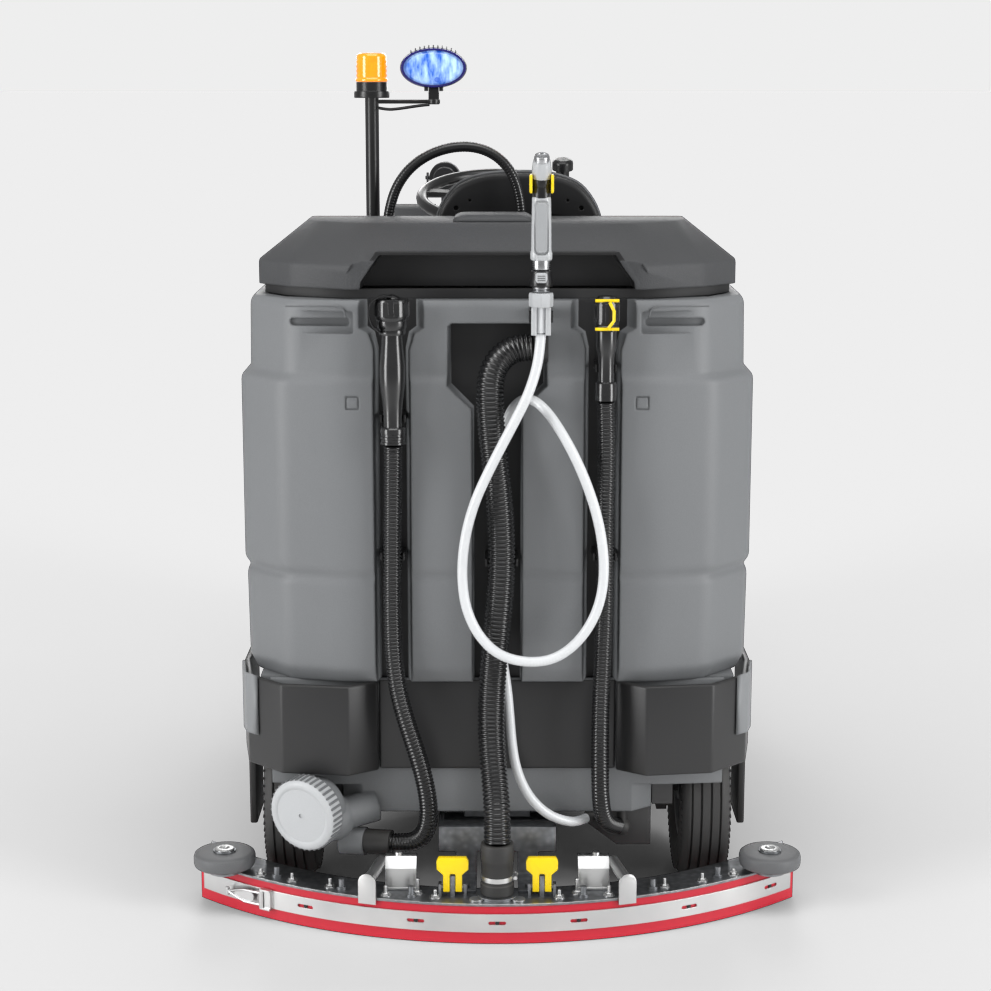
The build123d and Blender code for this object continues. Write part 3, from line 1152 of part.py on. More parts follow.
# ---- Fittings that the hoses join ----------------------------------------------------------
with BuildPart() as hose_fittings:
    # Inlet elbow in the cavity for the suction hose.
    hose_start = Vector(*suction_route[0])
    hose_run = (Vector(*suction_route[1]) - hose_start).normalized()
    with BuildSketch(Plane(origin=hose_start - hose_run * seat_gap, z_dir=hose_run * -1)):
        Circle(suction_diameter / 2 + 3)
    extrude(amount=26)
    with Locations((86, groove_back - seat_gap, 1116)):
        Box(18, 46, 52, align=(Align.CENTER, Align.MAX, Align.CENTER))
    # Rubber cuff of the drain hose.
    with BuildSketch(Plane(origin=drain_end + drain_out * seat_gap, z_dir=drain_out)):
        Circle(24)
    extrude(amount=cuff_length)
    # Bosses at the ends of the arched hose.
    with Locations(*[(x, -376, tank_top + seat_gap) for x in (-223, 50)]):
        Cylinder(14, 12, align=(Align.CENTER, Align.CENTER, Align.MIN))
    # Stubs under the fresh tank for the level hose and the spray hose.
    for route, ball in ((level_route, 18), (spray_route, 12.5)):
        hose_end = Vector(*route[-1])
        hose_run = (hose_end - Vector(*route[-2])).normalized()
        stub = hose_end + hose_run * (ball + seat_gap)
        with Locations((stub.X, stub.Y, stub.Z)):
            Sphere(ball)
            Cylinder(0.55 * ball, fresh_z - seat_gap - stub.Z, align=(Align.CENTER, Align.CENTER, Align.MIN))
hose_fittings.part.label = "hose_fittings"
export_step(hose_fittings.part, "parts/hose_fittings.step")

# ---- Clips on the rear face ----------------------------------------------------------------
with BuildPart() as hose_clips:
    held_tubes = ((-198, -788.3, 720, drain_diameter / 2), (203.5, -789.5, 720, level_diameter / 2),
                  (8, -803, 712, suction_diameter / 2), (-195, -795, 985, 19), (202, -795, 1080, 15))
    for x, y, z, radius in held_tubes:
        outer = radius + 5
        with Locations((x, groove_back - seat_gap, z)):
            Box(2 * outer, groove_back - seat_gap - y, 14, align=(Align.CENTER, Align.MAX, Align.CENTER))
        with Locations((x, y, z)):
            Cylinder(radius + 1.2, 20, mode=Mode.SUBTRACT)
    # The spray hose runs behind the suction hose, through its clip.
    with Locations((3.5, -751.5, 712)):
        Cylinder(spray_diameter / 2 + 1.5, 30, mode=Mode.SUBTRACT)
    # Holder for the spray gun.
    with Locations((gun_x, tank_back + 8 - seat_gap, 1180)):
        Box(44, tank_back + 8 - gun_y, 22, align=(Align.CENTER, Align.MAX, Align.CENTER))
    with Locations((gun_x, gun_y, 1180)):
        Cylinder(10 + seat_gap, 30, mode=Mode.SUBTRACT)
hose_clips.part.label = "hose_clips"
export_step(hose_clips.part, "parts/hose_clips.step")
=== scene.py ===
# %% [markdown]
# # A ride-on scrubber dryer, seen from behind
# The machine is already designed: its frame, wheels, joints and hose routes come packed from CAD.
# Here it gets its looks. Each cell makes one family of pieces and says why it is made that way.
# First the frame is loaded.

# %% Load the frame
import bmesh
import bpy
import json
import math
from mathutils import Matrix, Vector


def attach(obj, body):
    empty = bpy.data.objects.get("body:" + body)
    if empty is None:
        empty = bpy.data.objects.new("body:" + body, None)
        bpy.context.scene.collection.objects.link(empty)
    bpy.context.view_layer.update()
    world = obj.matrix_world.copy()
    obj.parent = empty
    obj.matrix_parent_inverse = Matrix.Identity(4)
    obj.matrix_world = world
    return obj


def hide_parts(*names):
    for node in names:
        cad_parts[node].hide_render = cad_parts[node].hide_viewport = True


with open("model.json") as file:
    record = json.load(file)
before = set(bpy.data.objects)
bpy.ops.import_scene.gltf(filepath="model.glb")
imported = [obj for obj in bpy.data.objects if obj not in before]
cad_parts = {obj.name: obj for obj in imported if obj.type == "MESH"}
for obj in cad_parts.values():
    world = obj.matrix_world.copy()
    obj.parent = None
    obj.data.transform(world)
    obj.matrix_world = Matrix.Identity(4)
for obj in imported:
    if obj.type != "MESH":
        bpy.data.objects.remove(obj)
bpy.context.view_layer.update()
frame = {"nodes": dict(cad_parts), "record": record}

# %% [markdown]
# ## Small helpers for meshes
# Most pieces here are one of four shapes: a stack of outlines (a loft), a turned profile, a plate with
# an outline, or a round bar along a path. A helper for each keeps the later cells short. Every helper
# returns a mesh object whose points are already in place, so its object stays at the origin.

# %% Mesh helpers
SMOOTH_ANGLE = math.radians(34)


def new_object(name, mesh):
    """Links a mesh to the scene as an object at the origin."""
    piece = bpy.data.objects.new(name, mesh)
    bpy.context.scene.collection.objects.link(piece)
    return piece


def from_bmesh(name, work):
    """Turns a bmesh into an object, with its faces pointing outwards."""
    bmesh.ops.remove_doubles(work, verts=work.verts, dist=1e-6)
    bmesh.ops.recalc_face_normals(work, faces=work.faces)
    mesh = bpy.data.meshes.new(name)
    work.to_mesh(mesh)
    work.free()
    return new_object(name, mesh)


def loft(name, rings, caps=True):
    """A skin over rings of equally many points, closed at both ends."""
    work = bmesh.new()
    rows = [[work.verts.new(point) for point in ring] for ring in rings]
    count = len(rows[0])
    for low, high in zip(rows, rows[1:]):
        for i in range(count):
            j = (i + 1) % count
            work.faces.new((low[i], low[j], high[j], high[i]))
    if caps:
        work.faces.new(list(reversed(rows[0])))
        work.faces.new(rows[-1])
    return from_bmesh(name, work)


def axis_frame(direction):
    """Two unit directions across an axis, and the axis itself."""
    along = Vector(direction).normalized()
    side = Vector((0, 0, 1)).cross(along)
    if side.length < 0.1:
        side = Vector((1, 0, 0))
    side.normalize()
    return side, along.cross(side), along


def turned(name, profile, origin, direction=(0, 0, 1), segments=48):
    """A turned piece: profile points are (radius, distance along the axis)."""
    side, up, along = axis_frame(direction)
    rings = []
    for radius, distance in profile:
        radius = max(radius, 1e-5)
        angles = (2 * math.pi * i / segments for i in range(segments))
        centre = Vector(origin) + along * distance
        rings.append([centre + side * (radius * math.cos(a)) + up * (radius * math.sin(a)) for a in angles])
    return loft(name, rings)


def plate(name, outline, origin, across, up, thickness):
    """A flat outline in the plane of across and up, given a thickness along their cross product."""
    across, up = Vector(across).normalized(), Vector(up).normalized()
    out = across.cross(up)
    rings = [[Vector(origin) + across * a + up * b + out * depth for a,
              b in outline] for depth in (0, thickness)]
    return loft(name, rings)


def box_between(name, low, high):
    """A block between two corners."""
    outline = [(low[0], low[1]), (high[0], low[1]), (high[0], high[1]), (low[0], high[1])]
    return loft(name, [[Vector((x, y, z)) for x, y in outline] for z in (low[2], high[2])])


def bar(name, points, radius, segments=16):
    """A round bar along a list of points, with its frame carried on without twist."""
    points = [Vector(p) for p in points]
    tangents = []
    for i in range(len(points)):
        ahead = points[min(i + 1, len(points) - 1)] - points[max(i - 1, 0)]
        tangents.append(ahead.normalized())
    side = axis_frame(tangents[0])[0]
    rings = []
    for i, (point, tangent) in enumerate(zip(points, tangents)):
        side = (side - tangent * side.dot(tangent)).normalized()
        up = tangent.cross(side)
        size = radius(i) if callable(radius) else radius
        rings.append([point + side * (size * math.cos(2 * math.pi * k / segments))
                      + up * (size * math.sin(2 * math.pi * k / segments)) for k in range(segments)])
    return loft(name, rings)


def rounded(width, height, radius, steps=5):
    """A rounded rectangle about the origin."""
    points = []
    for cx, cy, start in ((1, 1, 0), (-1, 1, 90), (-1, -1, 180), (1, -1, 270)):
        for k in range(steps + 1):
            a = math.radians(start + 90 * k / steps)
            points.append((cx * (width / 2 - radius) + radius * math.cos(a),
                           cy * (height / 2 - radius) + radius * math.sin(a)))
    return points


def bake(piece):
    """Applies a piece's modifiers, so that only plain mesh is left."""
    graph = bpy.context.evaluated_depsgraph_get()
    mesh = bpy.data.meshes.new_from_object(piece.evaluated_get(graph))
    piece.modifiers.clear()
    piece.data = mesh
    return piece


def soften(piece, width, segments=3, angle=30):
    """Rounds the edges sharper than an angle."""
    bevel = piece.modifiers.new("Soft edges", "BEVEL")
    bevel.width = width
    bevel.segments = segments
    bevel.limit_method = "ANGLE"
    bevel.angle_limit = math.radians(angle)
    bevel.harden_normals = False
    return bake(piece)


def smooth(piece, angle=SMOOTH_ANGLE):
    """Smooth shading, with the edges sharper than an angle kept crisp."""
    piece.data.shade_smooth()
    piece.data.set_sharp_from_angle(angle=angle)
    return piece


def join(name, pieces):
    """Makes one object out of several."""
    work = bmesh.new()
    materials = []
    for piece in pieces:
        offset = []
        for material in piece.data.materials:
            if material not in materials:
                materials.append(material)
            offset.append(materials.index(material))
        start = len(work.faces)
        work.from_mesh(piece.data)
        work.faces.ensure_lookup_table()
        for face in work.faces[start:]:
            if offset:
                face.material_index = offset[min(face.material_index, len(offset) - 1)]
    mesh = bpy.data.meshes.new(name)
    work.to_mesh(mesh)
    work.free()
    for material in materials:
        mesh.materials.append(material)
    for piece in pieces:
        bpy.data.objects.remove(piece)
    return new_object(name, mesh)


def cut(piece, tool):
    """Cuts a tool's shape out of a piece and removes the tool."""
    modifier = piece.modifiers.new("Cut", "BOOLEAN")
    modifier.operation = "DIFFERENCE"
    modifier.solver = "EXACT"
    modifier.object = tool
    bake(piece)
    bpy.data.objects.remove(tool)
    return piece


def node_copy(node, name):
    """A merged copy of a CAD node's mesh, to work on."""
    source = frame["nodes"][node].data
    work = bmesh.new()
    work.from_mesh(source)
    bmesh.ops.remove_doubles(work, verts=work.verts, dist=1e-5)
    bmesh.ops.dissolve_limit(work, angle_limit=math.radians(1.0), verts=work.verts, edges=work.edges)
    mesh = bpy.data.meshes.new(name)
    work.to_mesh(mesh)
    work.free()
    return new_object(name, mesh)


def fit_out(piece, material, body, slot_name, *nodes):
    """Gives a finished piece its material and its body, and hides the CAD nodes that it stands for. Its
    slot name is not used.
    """
    if material is not None:
        piece.data.materials.clear()
        piece.data.materials.append(material)
    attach(piece, body)
    if nodes:
        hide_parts(*nodes)
    return piece


# %% [markdown]
# ## Shader groups that many finishes share
# Moulded plastic, painted steel and rubber all have a fine grain, slow changes of tone, and dust that
# gathers low down. One group makes them from the Object coordinates: it puts out a colour, a
# roughness and a normal, and each material gives it its own sizes. A second group makes brushed and
# mottled metal.

# %% Shader group tools
def colour(red, green, blue):
    """A display colour, 0 to 255, as the linear colour that shaders use."""
    linear = [((c / 255 + 0.055) / 1.055) ** 2.4 if c > 10 else c / 255 / 12.92 for c in (red, green, blue)]
    return (*linear, 1.0)


class Nodes:
    """A node tree that is written as calls: node(type, input=value or socket)."""

    def __init__(self, tree):
        self.tree = tree

    def add(self, kind, settings=None, **inputs):
        node = self.tree.nodes.new(kind)
        for key, value in (settings or {}).items():
            setattr(node, key, value)
        for key, value in inputs.items():
            wanted = key.replace("_", " ")
            if wanted[-1].isdigit() and wanted not in node.inputs:
                target = node.inputs[int(wanted[-1])]
            else:
                target = node.inputs[wanted]
            if isinstance(value, bpy.types.NodeSocket):
                self.tree.links.new(value, target)
            else:
                target.default_value = value
        return node

    def maths(self, operation, first, second=0.0):
        return self.add("ShaderNodeMath", {"operation": operation}, in0=first, in1=second).outputs[0]

    def mix(self, factor, first, second):
        node = self.add("ShaderNodeMix", {"data_type": "RGBA"}, Factor=factor)
        for socket, value in ((node.inputs[6], first), (node.inputs[7], second)):
            if isinstance(value, bpy.types.NodeSocket):
                self.tree.links.new(value, socket)
            else:
                socket.default_value = value
        return node.outputs[2]


def make_group(name, inputs, outputs):
    """A shader group with named sockets. Returns the group, its input node and its writer."""
    group = bpy.data.node_groups.new(name, "ShaderNodeTree")
    for label, kind, value in inputs:
        socket = group.interface.new_socket(label, in_out="INPUT", socket_type=kind)
        socket.default_value = value
    for label, kind in outputs:
        group.interface.new_socket(label, in_out="OUTPUT", socket_type=kind)
    entry = group.nodes.new("NodeGroupInput")
    return group, entry, Nodes(group)


# %% Moulded skin group
FLOAT, COLOUR, VECTOR = "NodeSocketFloat", "NodeSocketColor", "NodeSocketVector"
skin_group, entry, n = make_group(
    "Moulded skin",
    [("Colour", COLOUR, (0.2, 0.2, 0.2, 1)), ("Roughness", FLOAT, 0.5), ("Grain size", FLOAT, 700.0),
     ("Grain depth", FLOAT, 0.25), ("Tone change", FLOAT, 0.06), ("Dust", FLOAT, 0.15),
     ("Edge width", FLOAT, 0.002)],
    [("Colour", COLOUR), ("Roughness", FLOAT), ("Normal", VECTOR)])
place = n.add("ShaderNodeTexCoord").outputs["Object"]
grain = n.add("ShaderNodeTexNoise", Vector=place, Scale=entry.outputs["Grain size"], Detail=2.0)
cells = n.add("ShaderNodeTexVoronoi", Vector=place, Scale=entry.outputs["Grain size"])
slow = n.add("ShaderNodeTexNoise", Vector=place, Scale=4.0, Detail=3.0)
tone = n.maths("MULTIPLY_ADD", n.maths("SUBTRACT", slow.outputs[0], 0.5), entry.outputs["Tone change"])
n.tree.nodes[-1].inputs[2].default_value = 1.0
speck = n.maths("MULTIPLY_ADD", n.maths("SUBTRACT", grain.outputs[0], 0.5), entry.outputs["Grain depth"])
n.tree.nodes[-1].inputs[2].default_value = 1.0
toned = n.add("ShaderNodeVectorMath", {"operation": "SCALE"}, Vector=entry.outputs["Colour"],
              Scale=n.maths("MULTIPLY", tone, speck))
height = n.add("ShaderNodeSeparateXYZ", Vector=place).outputs[2]
low_down = n.add("ShaderNodeMapRange", Value=height)
low_down.inputs["From Min"].default_value = 0.5
low_down.inputs["From Max"].default_value = 0.0
facing = n.add("ShaderNodeSeparateXYZ", Vector=n.add("ShaderNodeNewGeometry").outputs["Normal"]).outputs[2]
dusty = n.maths("MULTIPLY", n.maths("MAXIMUM", facing, 0.0), slow.outputs[0])
dusty = n.maths("MULTIPLY", n.maths("ADD", dusty, n.maths("MULTIPLY", low_down.outputs[0], 0.4)),
                entry.outputs["Dust"])
dust_colour = n.mix(dusty, toned.outputs[0], colour(150, 147, 140))
rough = n.maths("ADD", entry.outputs["Roughness"], n.maths("MULTIPLY", n.maths("SUBTRACT", slow.outputs[0],
                                                            0.5), 0.12))
rough = n.maths("ADD", rough, n.maths("MULTIPLY", dusty, 0.4))
edge = n.add("ShaderNodeBevel", {"samples": 4}, Radius=entry.outputs["Edge width"])
bump = n.add("ShaderNodeBump", Height=n.maths("ADD", grain.outputs[0], cells.outputs[0]),
             Normal=edge.outputs[0],
             Strength=entry.outputs["Grain depth"], Distance=0.0004)
leave = n.tree.nodes.new("NodeGroupOutput")
n.tree.links.new(dust_colour, leave.inputs["Colour"])
n.tree.links.new(rough, leave.inputs["Roughness"])
n.tree.links.new(bump.outputs[0], leave.inputs["Normal"])

# %% Worked metal group
metal_group, entry, n = make_group(
    "Worked metal",
    [("Light", COLOUR, (0.6, 0.6, 0.6, 1)), ("Dark", COLOUR, (0.3, 0.3, 0.3, 1)),
     ("Roughness", FLOAT, 0.35),
     ("Mottle size", FLOAT, 60.0), ("Brush", FLOAT, 0.3), ("Edge width", FLOAT, 0.001)],
    [("Colour", COLOUR), ("Roughness", FLOAT), ("Normal", VECTOR)])
place = n.add("ShaderNodeTexCoord").outputs["Object"]
stretch = n.add("ShaderNodeMapping", Vector=place)
stretch.inputs["Scale"].default_value = (6, 6, 700)
lines = n.add("ShaderNodeTexNoise", Vector=stretch.outputs[0], Scale=1.0, Detail=3.0)
mottle = n.add("ShaderNodeTexVoronoi", {"feature": "SMOOTH_F1"}, Vector=place,
               Scale=entry.outputs["Mottle size"])
cloud = n.add("ShaderNodeTexNoise", Vector=place, Scale=9.0, Detail=4.0)
blend = n.maths("ADD", n.maths("MULTIPLY", mottle.outputs[0], 0.8),
                n.maths("MULTIPLY", cloud.outputs[0], 0.6))
tinted = n.mix(n.maths("SUBTRACT", blend, 0.15), entry.outputs["Light"], entry.outputs["Dark"])
rough = n.maths("ADD", entry.outputs["Roughness"],
                n.maths("MULTIPLY", n.maths("SUBTRACT", lines.outputs[0], 0.5), 0.25))
rough = n.maths("ADD", rough, n.maths("MULTIPLY", cloud.outputs[0], 0.1))
edge = n.add("ShaderNodeBevel", {"samples": 4}, Radius=entry.outputs["Edge width"])
bump = n.add("ShaderNodeBump", Height=lines.outputs[0], Normal=edge.outputs[0],
             Strength=entry.outputs["Brush"],
             Distance=0.0002)
leave = n.tree.nodes.new("NodeGroupOutput")
n.tree.links.new(tinted, leave.inputs["Colour"])
n.tree.links.new(rough, leave.inputs["Roughness"])
n.tree.links.new(bump.outputs[0], leave.inputs["Normal"])


# %% [markdown]
# ## Finishes
# Each finish is one material: a group for its surface and a Principled shader for how it answers
# light. Numbers that are the same all over, such as metalness or coat, go straight on the shader.

# %% Finish makers
def material_with(name, group, values, shader_values):
    """A material made of one surface group and one Principled shader."""
    material = bpy.data.materials.new(name)
    material.use_nodes = True
    tree = material.node_tree
    tree.nodes.clear()
    surface = tree.nodes.new("ShaderNodeGroup")
    surface.node_tree = group
    for key, value in values.items():
        surface.inputs[key].default_value = value
    shader = tree.nodes.new("ShaderNodeBsdfPrincipled")
    for key, value in shader_values.items():
        shader.inputs[key].default_value = value
    tree.links.new(surface.outputs["Colour"], shader.inputs["Base Color"])
    tree.links.new(surface.outputs["Roughness"], shader.inputs["Roughness"])
    tree.links.new(surface.outputs["Normal"], shader.inputs["Normal"])
    out = tree.nodes.new("ShaderNodeOutputMaterial")
    tree.links.new(shader.outputs[0], out.inputs[0])
    return material


def plastic(name, base, rough, grain=700.0, depth=0.25, tone=0.06, dust=0.05, edge=0.002, coat=0.0):
    """Moulded plastic, paint or rubber."""
    return material_with(name, skin_group,
                         {"Colour": base, "Roughness": rough, "Grain size": grain, "Grain depth": depth,
                          "Tone change": tone, "Dust": dust, "Edge width": edge},
                         {"Coat Weight": coat, "Coat Roughness": 0.12, "IOR": 1.46})


def metal(name, light, dark, rough, mottle=60.0, brush=0.3, metalness=1.0, edge=0.001):
    """Galvanised, brushed or plated steel."""
    return material_with(name, metal_group,
                         {"Light": light, "Dark": dark, "Roughness": rough, "Mottle size": mottle,
                          "Brush": brush, "Edge width": edge},
                         {"Metallic": metalness})


# %% The finishes
finish = {
    "frame_steel": plastic("Frame paint", colour(46, 46, 48), 0.42, 900, 0.12, dust=0.2, edge=0.0015),
    "tank_grey": plastic("Tank grey", colour(108, 110, 112), 0.52, 520, 0.20, 0.05, 0.03, 0.006),
    "lid_anthracite": plastic("Lid anthracite", colour(58, 59, 61), 0.60, 420, 0.55, 0.08, 0.03, 0.005),
    "bumper_black": plastic("Bumper black", colour(34, 34, 35), 0.40, 650, 0.22, 0.06, 0.05, 0.004),
    "pad_grey": plastic("Pad grey", colour(120, 122, 124), 0.50, 600, 0.2, edge=0.004),
    "black_rubber": plastic("Black rubber", colour(30, 30, 31), 0.55, 800, 0.2, dust=0.12),
    "tyre_rubber": plastic("Tyre rubber", colour(40, 40, 42), 0.62, 350, 0.45, 0.15, 0.25),
    "rim_grey": plastic("Rim grey", colour(120, 122, 124), 0.45, 500, 0.15, dust=0.2),
    "black_plastic": plastic("Glossy black", colour(22, 22, 23), 0.28, 900, 0.08, dust=0.0, edge=0.0012),
    "battery_black": plastic("Battery black", colour(44, 44, 47), 0.5, 600, 0.2),
    "cowl_grey": plastic("Cowl grey", colour(108, 110, 112), 0.52, 520, 0.20, 0.05, 0.03, 0.006),
    "hose_black": plastic("Hose black", colour(17, 17, 18), 0.22, 900, 0.04, dust=0.0, edge=0.0003,
                          coat=0.25),
    "cable_black": plastic("Cable black", colour(24, 24, 25), 0.4, 900, 0.1, dust=0.0, edge=0.0003),
    "gun_steel": metal("Plated metal", colour(196, 197, 199), colour(150, 151, 153), 0.22, 30, 0.08),
    "galvanised": metal("Galvanised", colour(158, 160, 163), colour(96, 98, 101), 0.38, 90, 0.15),
    "squeegee_red": plastic("Red rubber", colour(186, 22, 44), 0.38, 900, 0.08, 0.05, 0.0, 0.001),
    "stainless": metal("Stainless", colour(214, 214, 213), colour(176, 177, 178), 0.30, 12, 0.3),
    "roller_grey": plastic("Roller grey", colour(88, 89, 91), 0.5, 600, 0.25, edge=0.003),
    "lever_yellow": plastic("Signal yellow", colour(238, 205, 10), 0.32, 900, 0.08, 0.04, 0.0, 0.0015),
    "cap_grey": plastic("Cap grey", colour(176, 178, 180), 0.45, 700, 0.15, 0.04, 0.02, 0.002),
    "seat_vinyl": plastic("Seat vinyl", colour(36, 36, 38), 0.48, 380, 0.4, 0.06, 0.03),
    "brush_black": plastic("Brush black", colour(40, 40, 44), 0.5, 600, 0.2),
    "stop_red": plastic("Stop red", colour(190, 20, 22), 0.3, 900, 0.05),
    "blue_lens": plastic("Lamp black", colour(20, 20, 22), 0.3, 900, 0.06, dust=0.0),
    "hose_clear": plastic("Braided white", colour(205, 207, 209), 0.25, 900, 0.1, dust=0.0, edge=0.0003,
                          coat=0.3),
}
print("finishes", len(finish))

# %% Glass finishes
def glowing_lens(name, base, glow, strength, rough):
    """A lit lens: coloured, glossy, and bright from inside in bands."""
    material = bpy.data.materials.new(name)
    material.use_nodes = True
    shader = material.node_tree.nodes["Principled BSDF"]
    tree = Nodes(material.node_tree)
    place = tree.add("ShaderNodeTexCoord").outputs["Object"]
    cloud = tree.add("ShaderNodeTexNoise", Vector=place, Scale=60.0, Detail=2.0)
    tint = tree.mix(cloud.outputs[0], base, glow)
    material.node_tree.links.new(tint, shader.inputs["Base Color"])
    material.node_tree.links.new(tint, shader.inputs["Emission Color"])
    shader.inputs["Emission Strength"].default_value = strength
    shader.inputs["Roughness"].default_value = rough
    shader.inputs["Coat Weight"].default_value = 0.6
    return material


finish["amber_lens"] = glowing_lens("Amber lens", colour(226, 120, 0), colour(255, 150, 10), 0.55, 0.15)
finish["headlight_glass"] = glowing_lens("Headlight lens", colour(190, 196, 200), colour(225, 230, 235),
                                         0.15, 0.08)

# %% [markdown]
# ## CAD pieces that keep their shape
# Brackets, rails, bolts and plates are right as they come. They only need their finish, which goes in
# the node's own material slots. The record says which finish belongs to which node.

# %% Finish every CAD node
for entry_row in frame["record"]["subparts"]:
    node = frame["nodes"][entry_row["node"]]
    node.data.materials.clear()
    node.data.materials.append(finish[entry_row["material_slot"]])

# %% [markdown]
# ## Camera
# The camera looks along +Y, a little down, from 4.7 m behind the machine, with a long lens, so that
# the sides stay nearly parallel.

# %% Camera
camera_data = bpy.data.cameras.new("Camera")
camera_data.lens = 77.67
camera_data.sensor_width = 36
camera = bpy.data.objects.new("Camera", camera_data)
camera.location = (-0.0034, -4.735, 1.615)
camera.rotation_euler = (math.radians(90 - 11.13), 0, 0)
bpy.context.scene.collection.objects.link(camera)
bpy.context.scene.camera = camera

# %% [markdown]
# ## Hoses
# A hose is a fixed length of something flexible. Its route is a list of points, and the line through
# it is a NURBS spline, which bends as a real hose does. The ribs are made by Geometry Nodes: the
# spline is cut into short steps, its radius swings up and down along its length, and a circle is
# swept along it. The tree has inputs for radius, pitch and depth, so four hoses share it.

# %% Ribbed hose tree
ribbed = bpy.data.node_groups.new("Ribbed hose", "GeometryNodeTree")
ribbed.interface.new_socket("Geometry", in_out="INPUT", socket_type="NodeSocketGeometry")
for label, kind, value in (("Radius", FLOAT, 0.02), ("Pitch", FLOAT, 0.008), ("Depth", FLOAT, 0.002),
                           ("Sides", "NodeSocketInt", 24), ("Finish", "NodeSocketMaterial", None)):
    socket = ribbed.interface.new_socket(label, in_out="INPUT", socket_type=kind)
    if value is not None:
        socket.default_value = value
ribbed.interface.new_socket("Geometry", in_out="OUTPUT", socket_type="NodeSocketGeometry")
g = Nodes(ribbed)
entry = ribbed.nodes.new("NodeGroupInput")
line = g.add("GeometryNodeMeshToCurve", Mesh=entry.outputs["Geometry"])
steps = g.add("GeometryNodeResampleCurve", {"mode": "LENGTH"}, Curve=line.outputs[0],
              Length=g.maths("DIVIDE", entry.outputs["Pitch"], 6.0))
along = g.add("GeometryNodeSplineParameter").outputs["Length"]
turns = g.maths("MULTIPLY", g.maths("DIVIDE", along, entry.outputs["Pitch"]), 2 * math.pi)
wave = g.maths("POWER", g.maths("ADD", g.maths("MULTIPLY", g.maths("COSINE", turns), 0.5), 0.5), 1.6)
size = g.maths("SUBTRACT", entry.outputs["Radius"], g.maths("MULTIPLY", wave, entry.outputs["Depth"]))
circle = g.add("GeometryNodeCurvePrimitiveCircle", Resolution=entry.outputs["Sides"], Radius=1.0)
swept = g.add("GeometryNodeCurveToMesh", Curve=steps.outputs[0], Scale=size)
g.tree.links.new(circle.outputs[0], swept.inputs["Profile Curve"])
swept.inputs["Fill Caps"].default_value = True
shaded = g.add("GeometryNodeSetShadeSmooth", Geometry=swept.outputs[0])
real = g.add("GeometryNodeRealizeInstances", Geometry=shaded.outputs[0])
coated = g.add("GeometryNodeSetMaterial", Geometry=real.outputs[0], Material=entry.outputs["Finish"])
leave = ribbed.nodes.new("NodeGroupOutput")
ribbed.links.new(coated.outputs[0], leave.inputs["Geometry"])


# %% Hose maker
def run_tree(name, mesh, tree, **inputs):
    """Runs a Geometry Nodes tree on a mesh and keeps its result as a plain mesh."""
    piece = new_object(name, mesh)
    modifier = piece.modifiers.new("Tree", "NODES")
    modifier.node_group = tree
    for item in tree.interface.items_tree:
        if item.in_out == "INPUT" and item.name in inputs:
            modifier[item.identifier] = inputs[item.name]
    return bake(piece)


def spline_line(name, route):
    """The line of a NURBS spline through a route in millimetres, as a mesh of points in metres."""
    curve = bpy.data.curves.new(name + "_line", "CURVE")
    curve.dimensions = "3D"
    curve.resolution_u = 12
    spline = curve.splines.new("NURBS")
    spline.points.add(len(route) - 1)
    for point, place in zip(spline.points, route):
        point.co = (*(value / 1000 for value in place), 1.0)
    spline.order_u = 3
    spline.use_endpoint_u = True
    holder = bpy.data.objects.new(name + "_line", curve)
    bpy.context.scene.collection.objects.link(holder)
    graph = bpy.context.evaluated_depsgraph_get()
    mesh = bpy.data.meshes.new_from_object(holder.evaluated_get(graph))
    bpy.data.objects.remove(holder)
    return mesh


def hose(name, node, route, diameter, pitch, depth, material, body, slot_name):
    """One hose: its line, its ribs, its body, and the CAD node that it hides. Its slot name is not used."""
    line = spline_line(name, route)
    piece = run_tree(name, line, ribbed, Radius=diameter / 2000, Pitch=pitch / 1000, Depth=depth / 1000,
                     Sides=24, Finish=material)
    fit_out(piece, None, body, slot_name, node)
    return piece


# %% Hose routes
suction_route = [(66, -780, 1118), (40, -782, 1118), (16, -788, 1108), (-2, -795, 1090), (-12, -801, 1064),
                 (-14, -805, 1034), (-12, -805, 982), (-6, -803, 918), (2, -803, 852), (7, -802, 782),
                 (8.5, -803, 712), (5, -804, 642), (-1, -803, 577), (-7, -804, 512), (-11, -807, 450),
                 (-12, -814, 392), (-9, -829, 335), (-3, -850, 280), (0, -876, 234), (0, -880, 188)]
drain_route = [(-195, -795, 936), (-196, -790, 880), (-197.5, -788, 800), (-198.5, -788.5, 710),
               (-199.5, -788, 625), (-199, -789, 558), (-196, -793, 507), (-188.5, -800, 456),
               (-176, -806, 408),
               (-160, -808, 358), (-145, -808, 307), (-134, -806, 254), (-131, -800, 205),
               (-142, -792, 166),
               (-170, -783, 147), (-206, -774, 146)]
level_route = [(202, -795, 1018.5), (204.5, -791, 965), (205, -789, 890), (203, -790, 810),
               (203.5, -789.5, 725),
               (204, -790, 640), (202.5, -790, 570), (200.5, -794, 505), (198, -801, 445), (197, -805, 378),
               (197.5, -803, 312), (199, -796, 250), (205, -779, 203), (219, -756, 176), (235, -735, 166)]
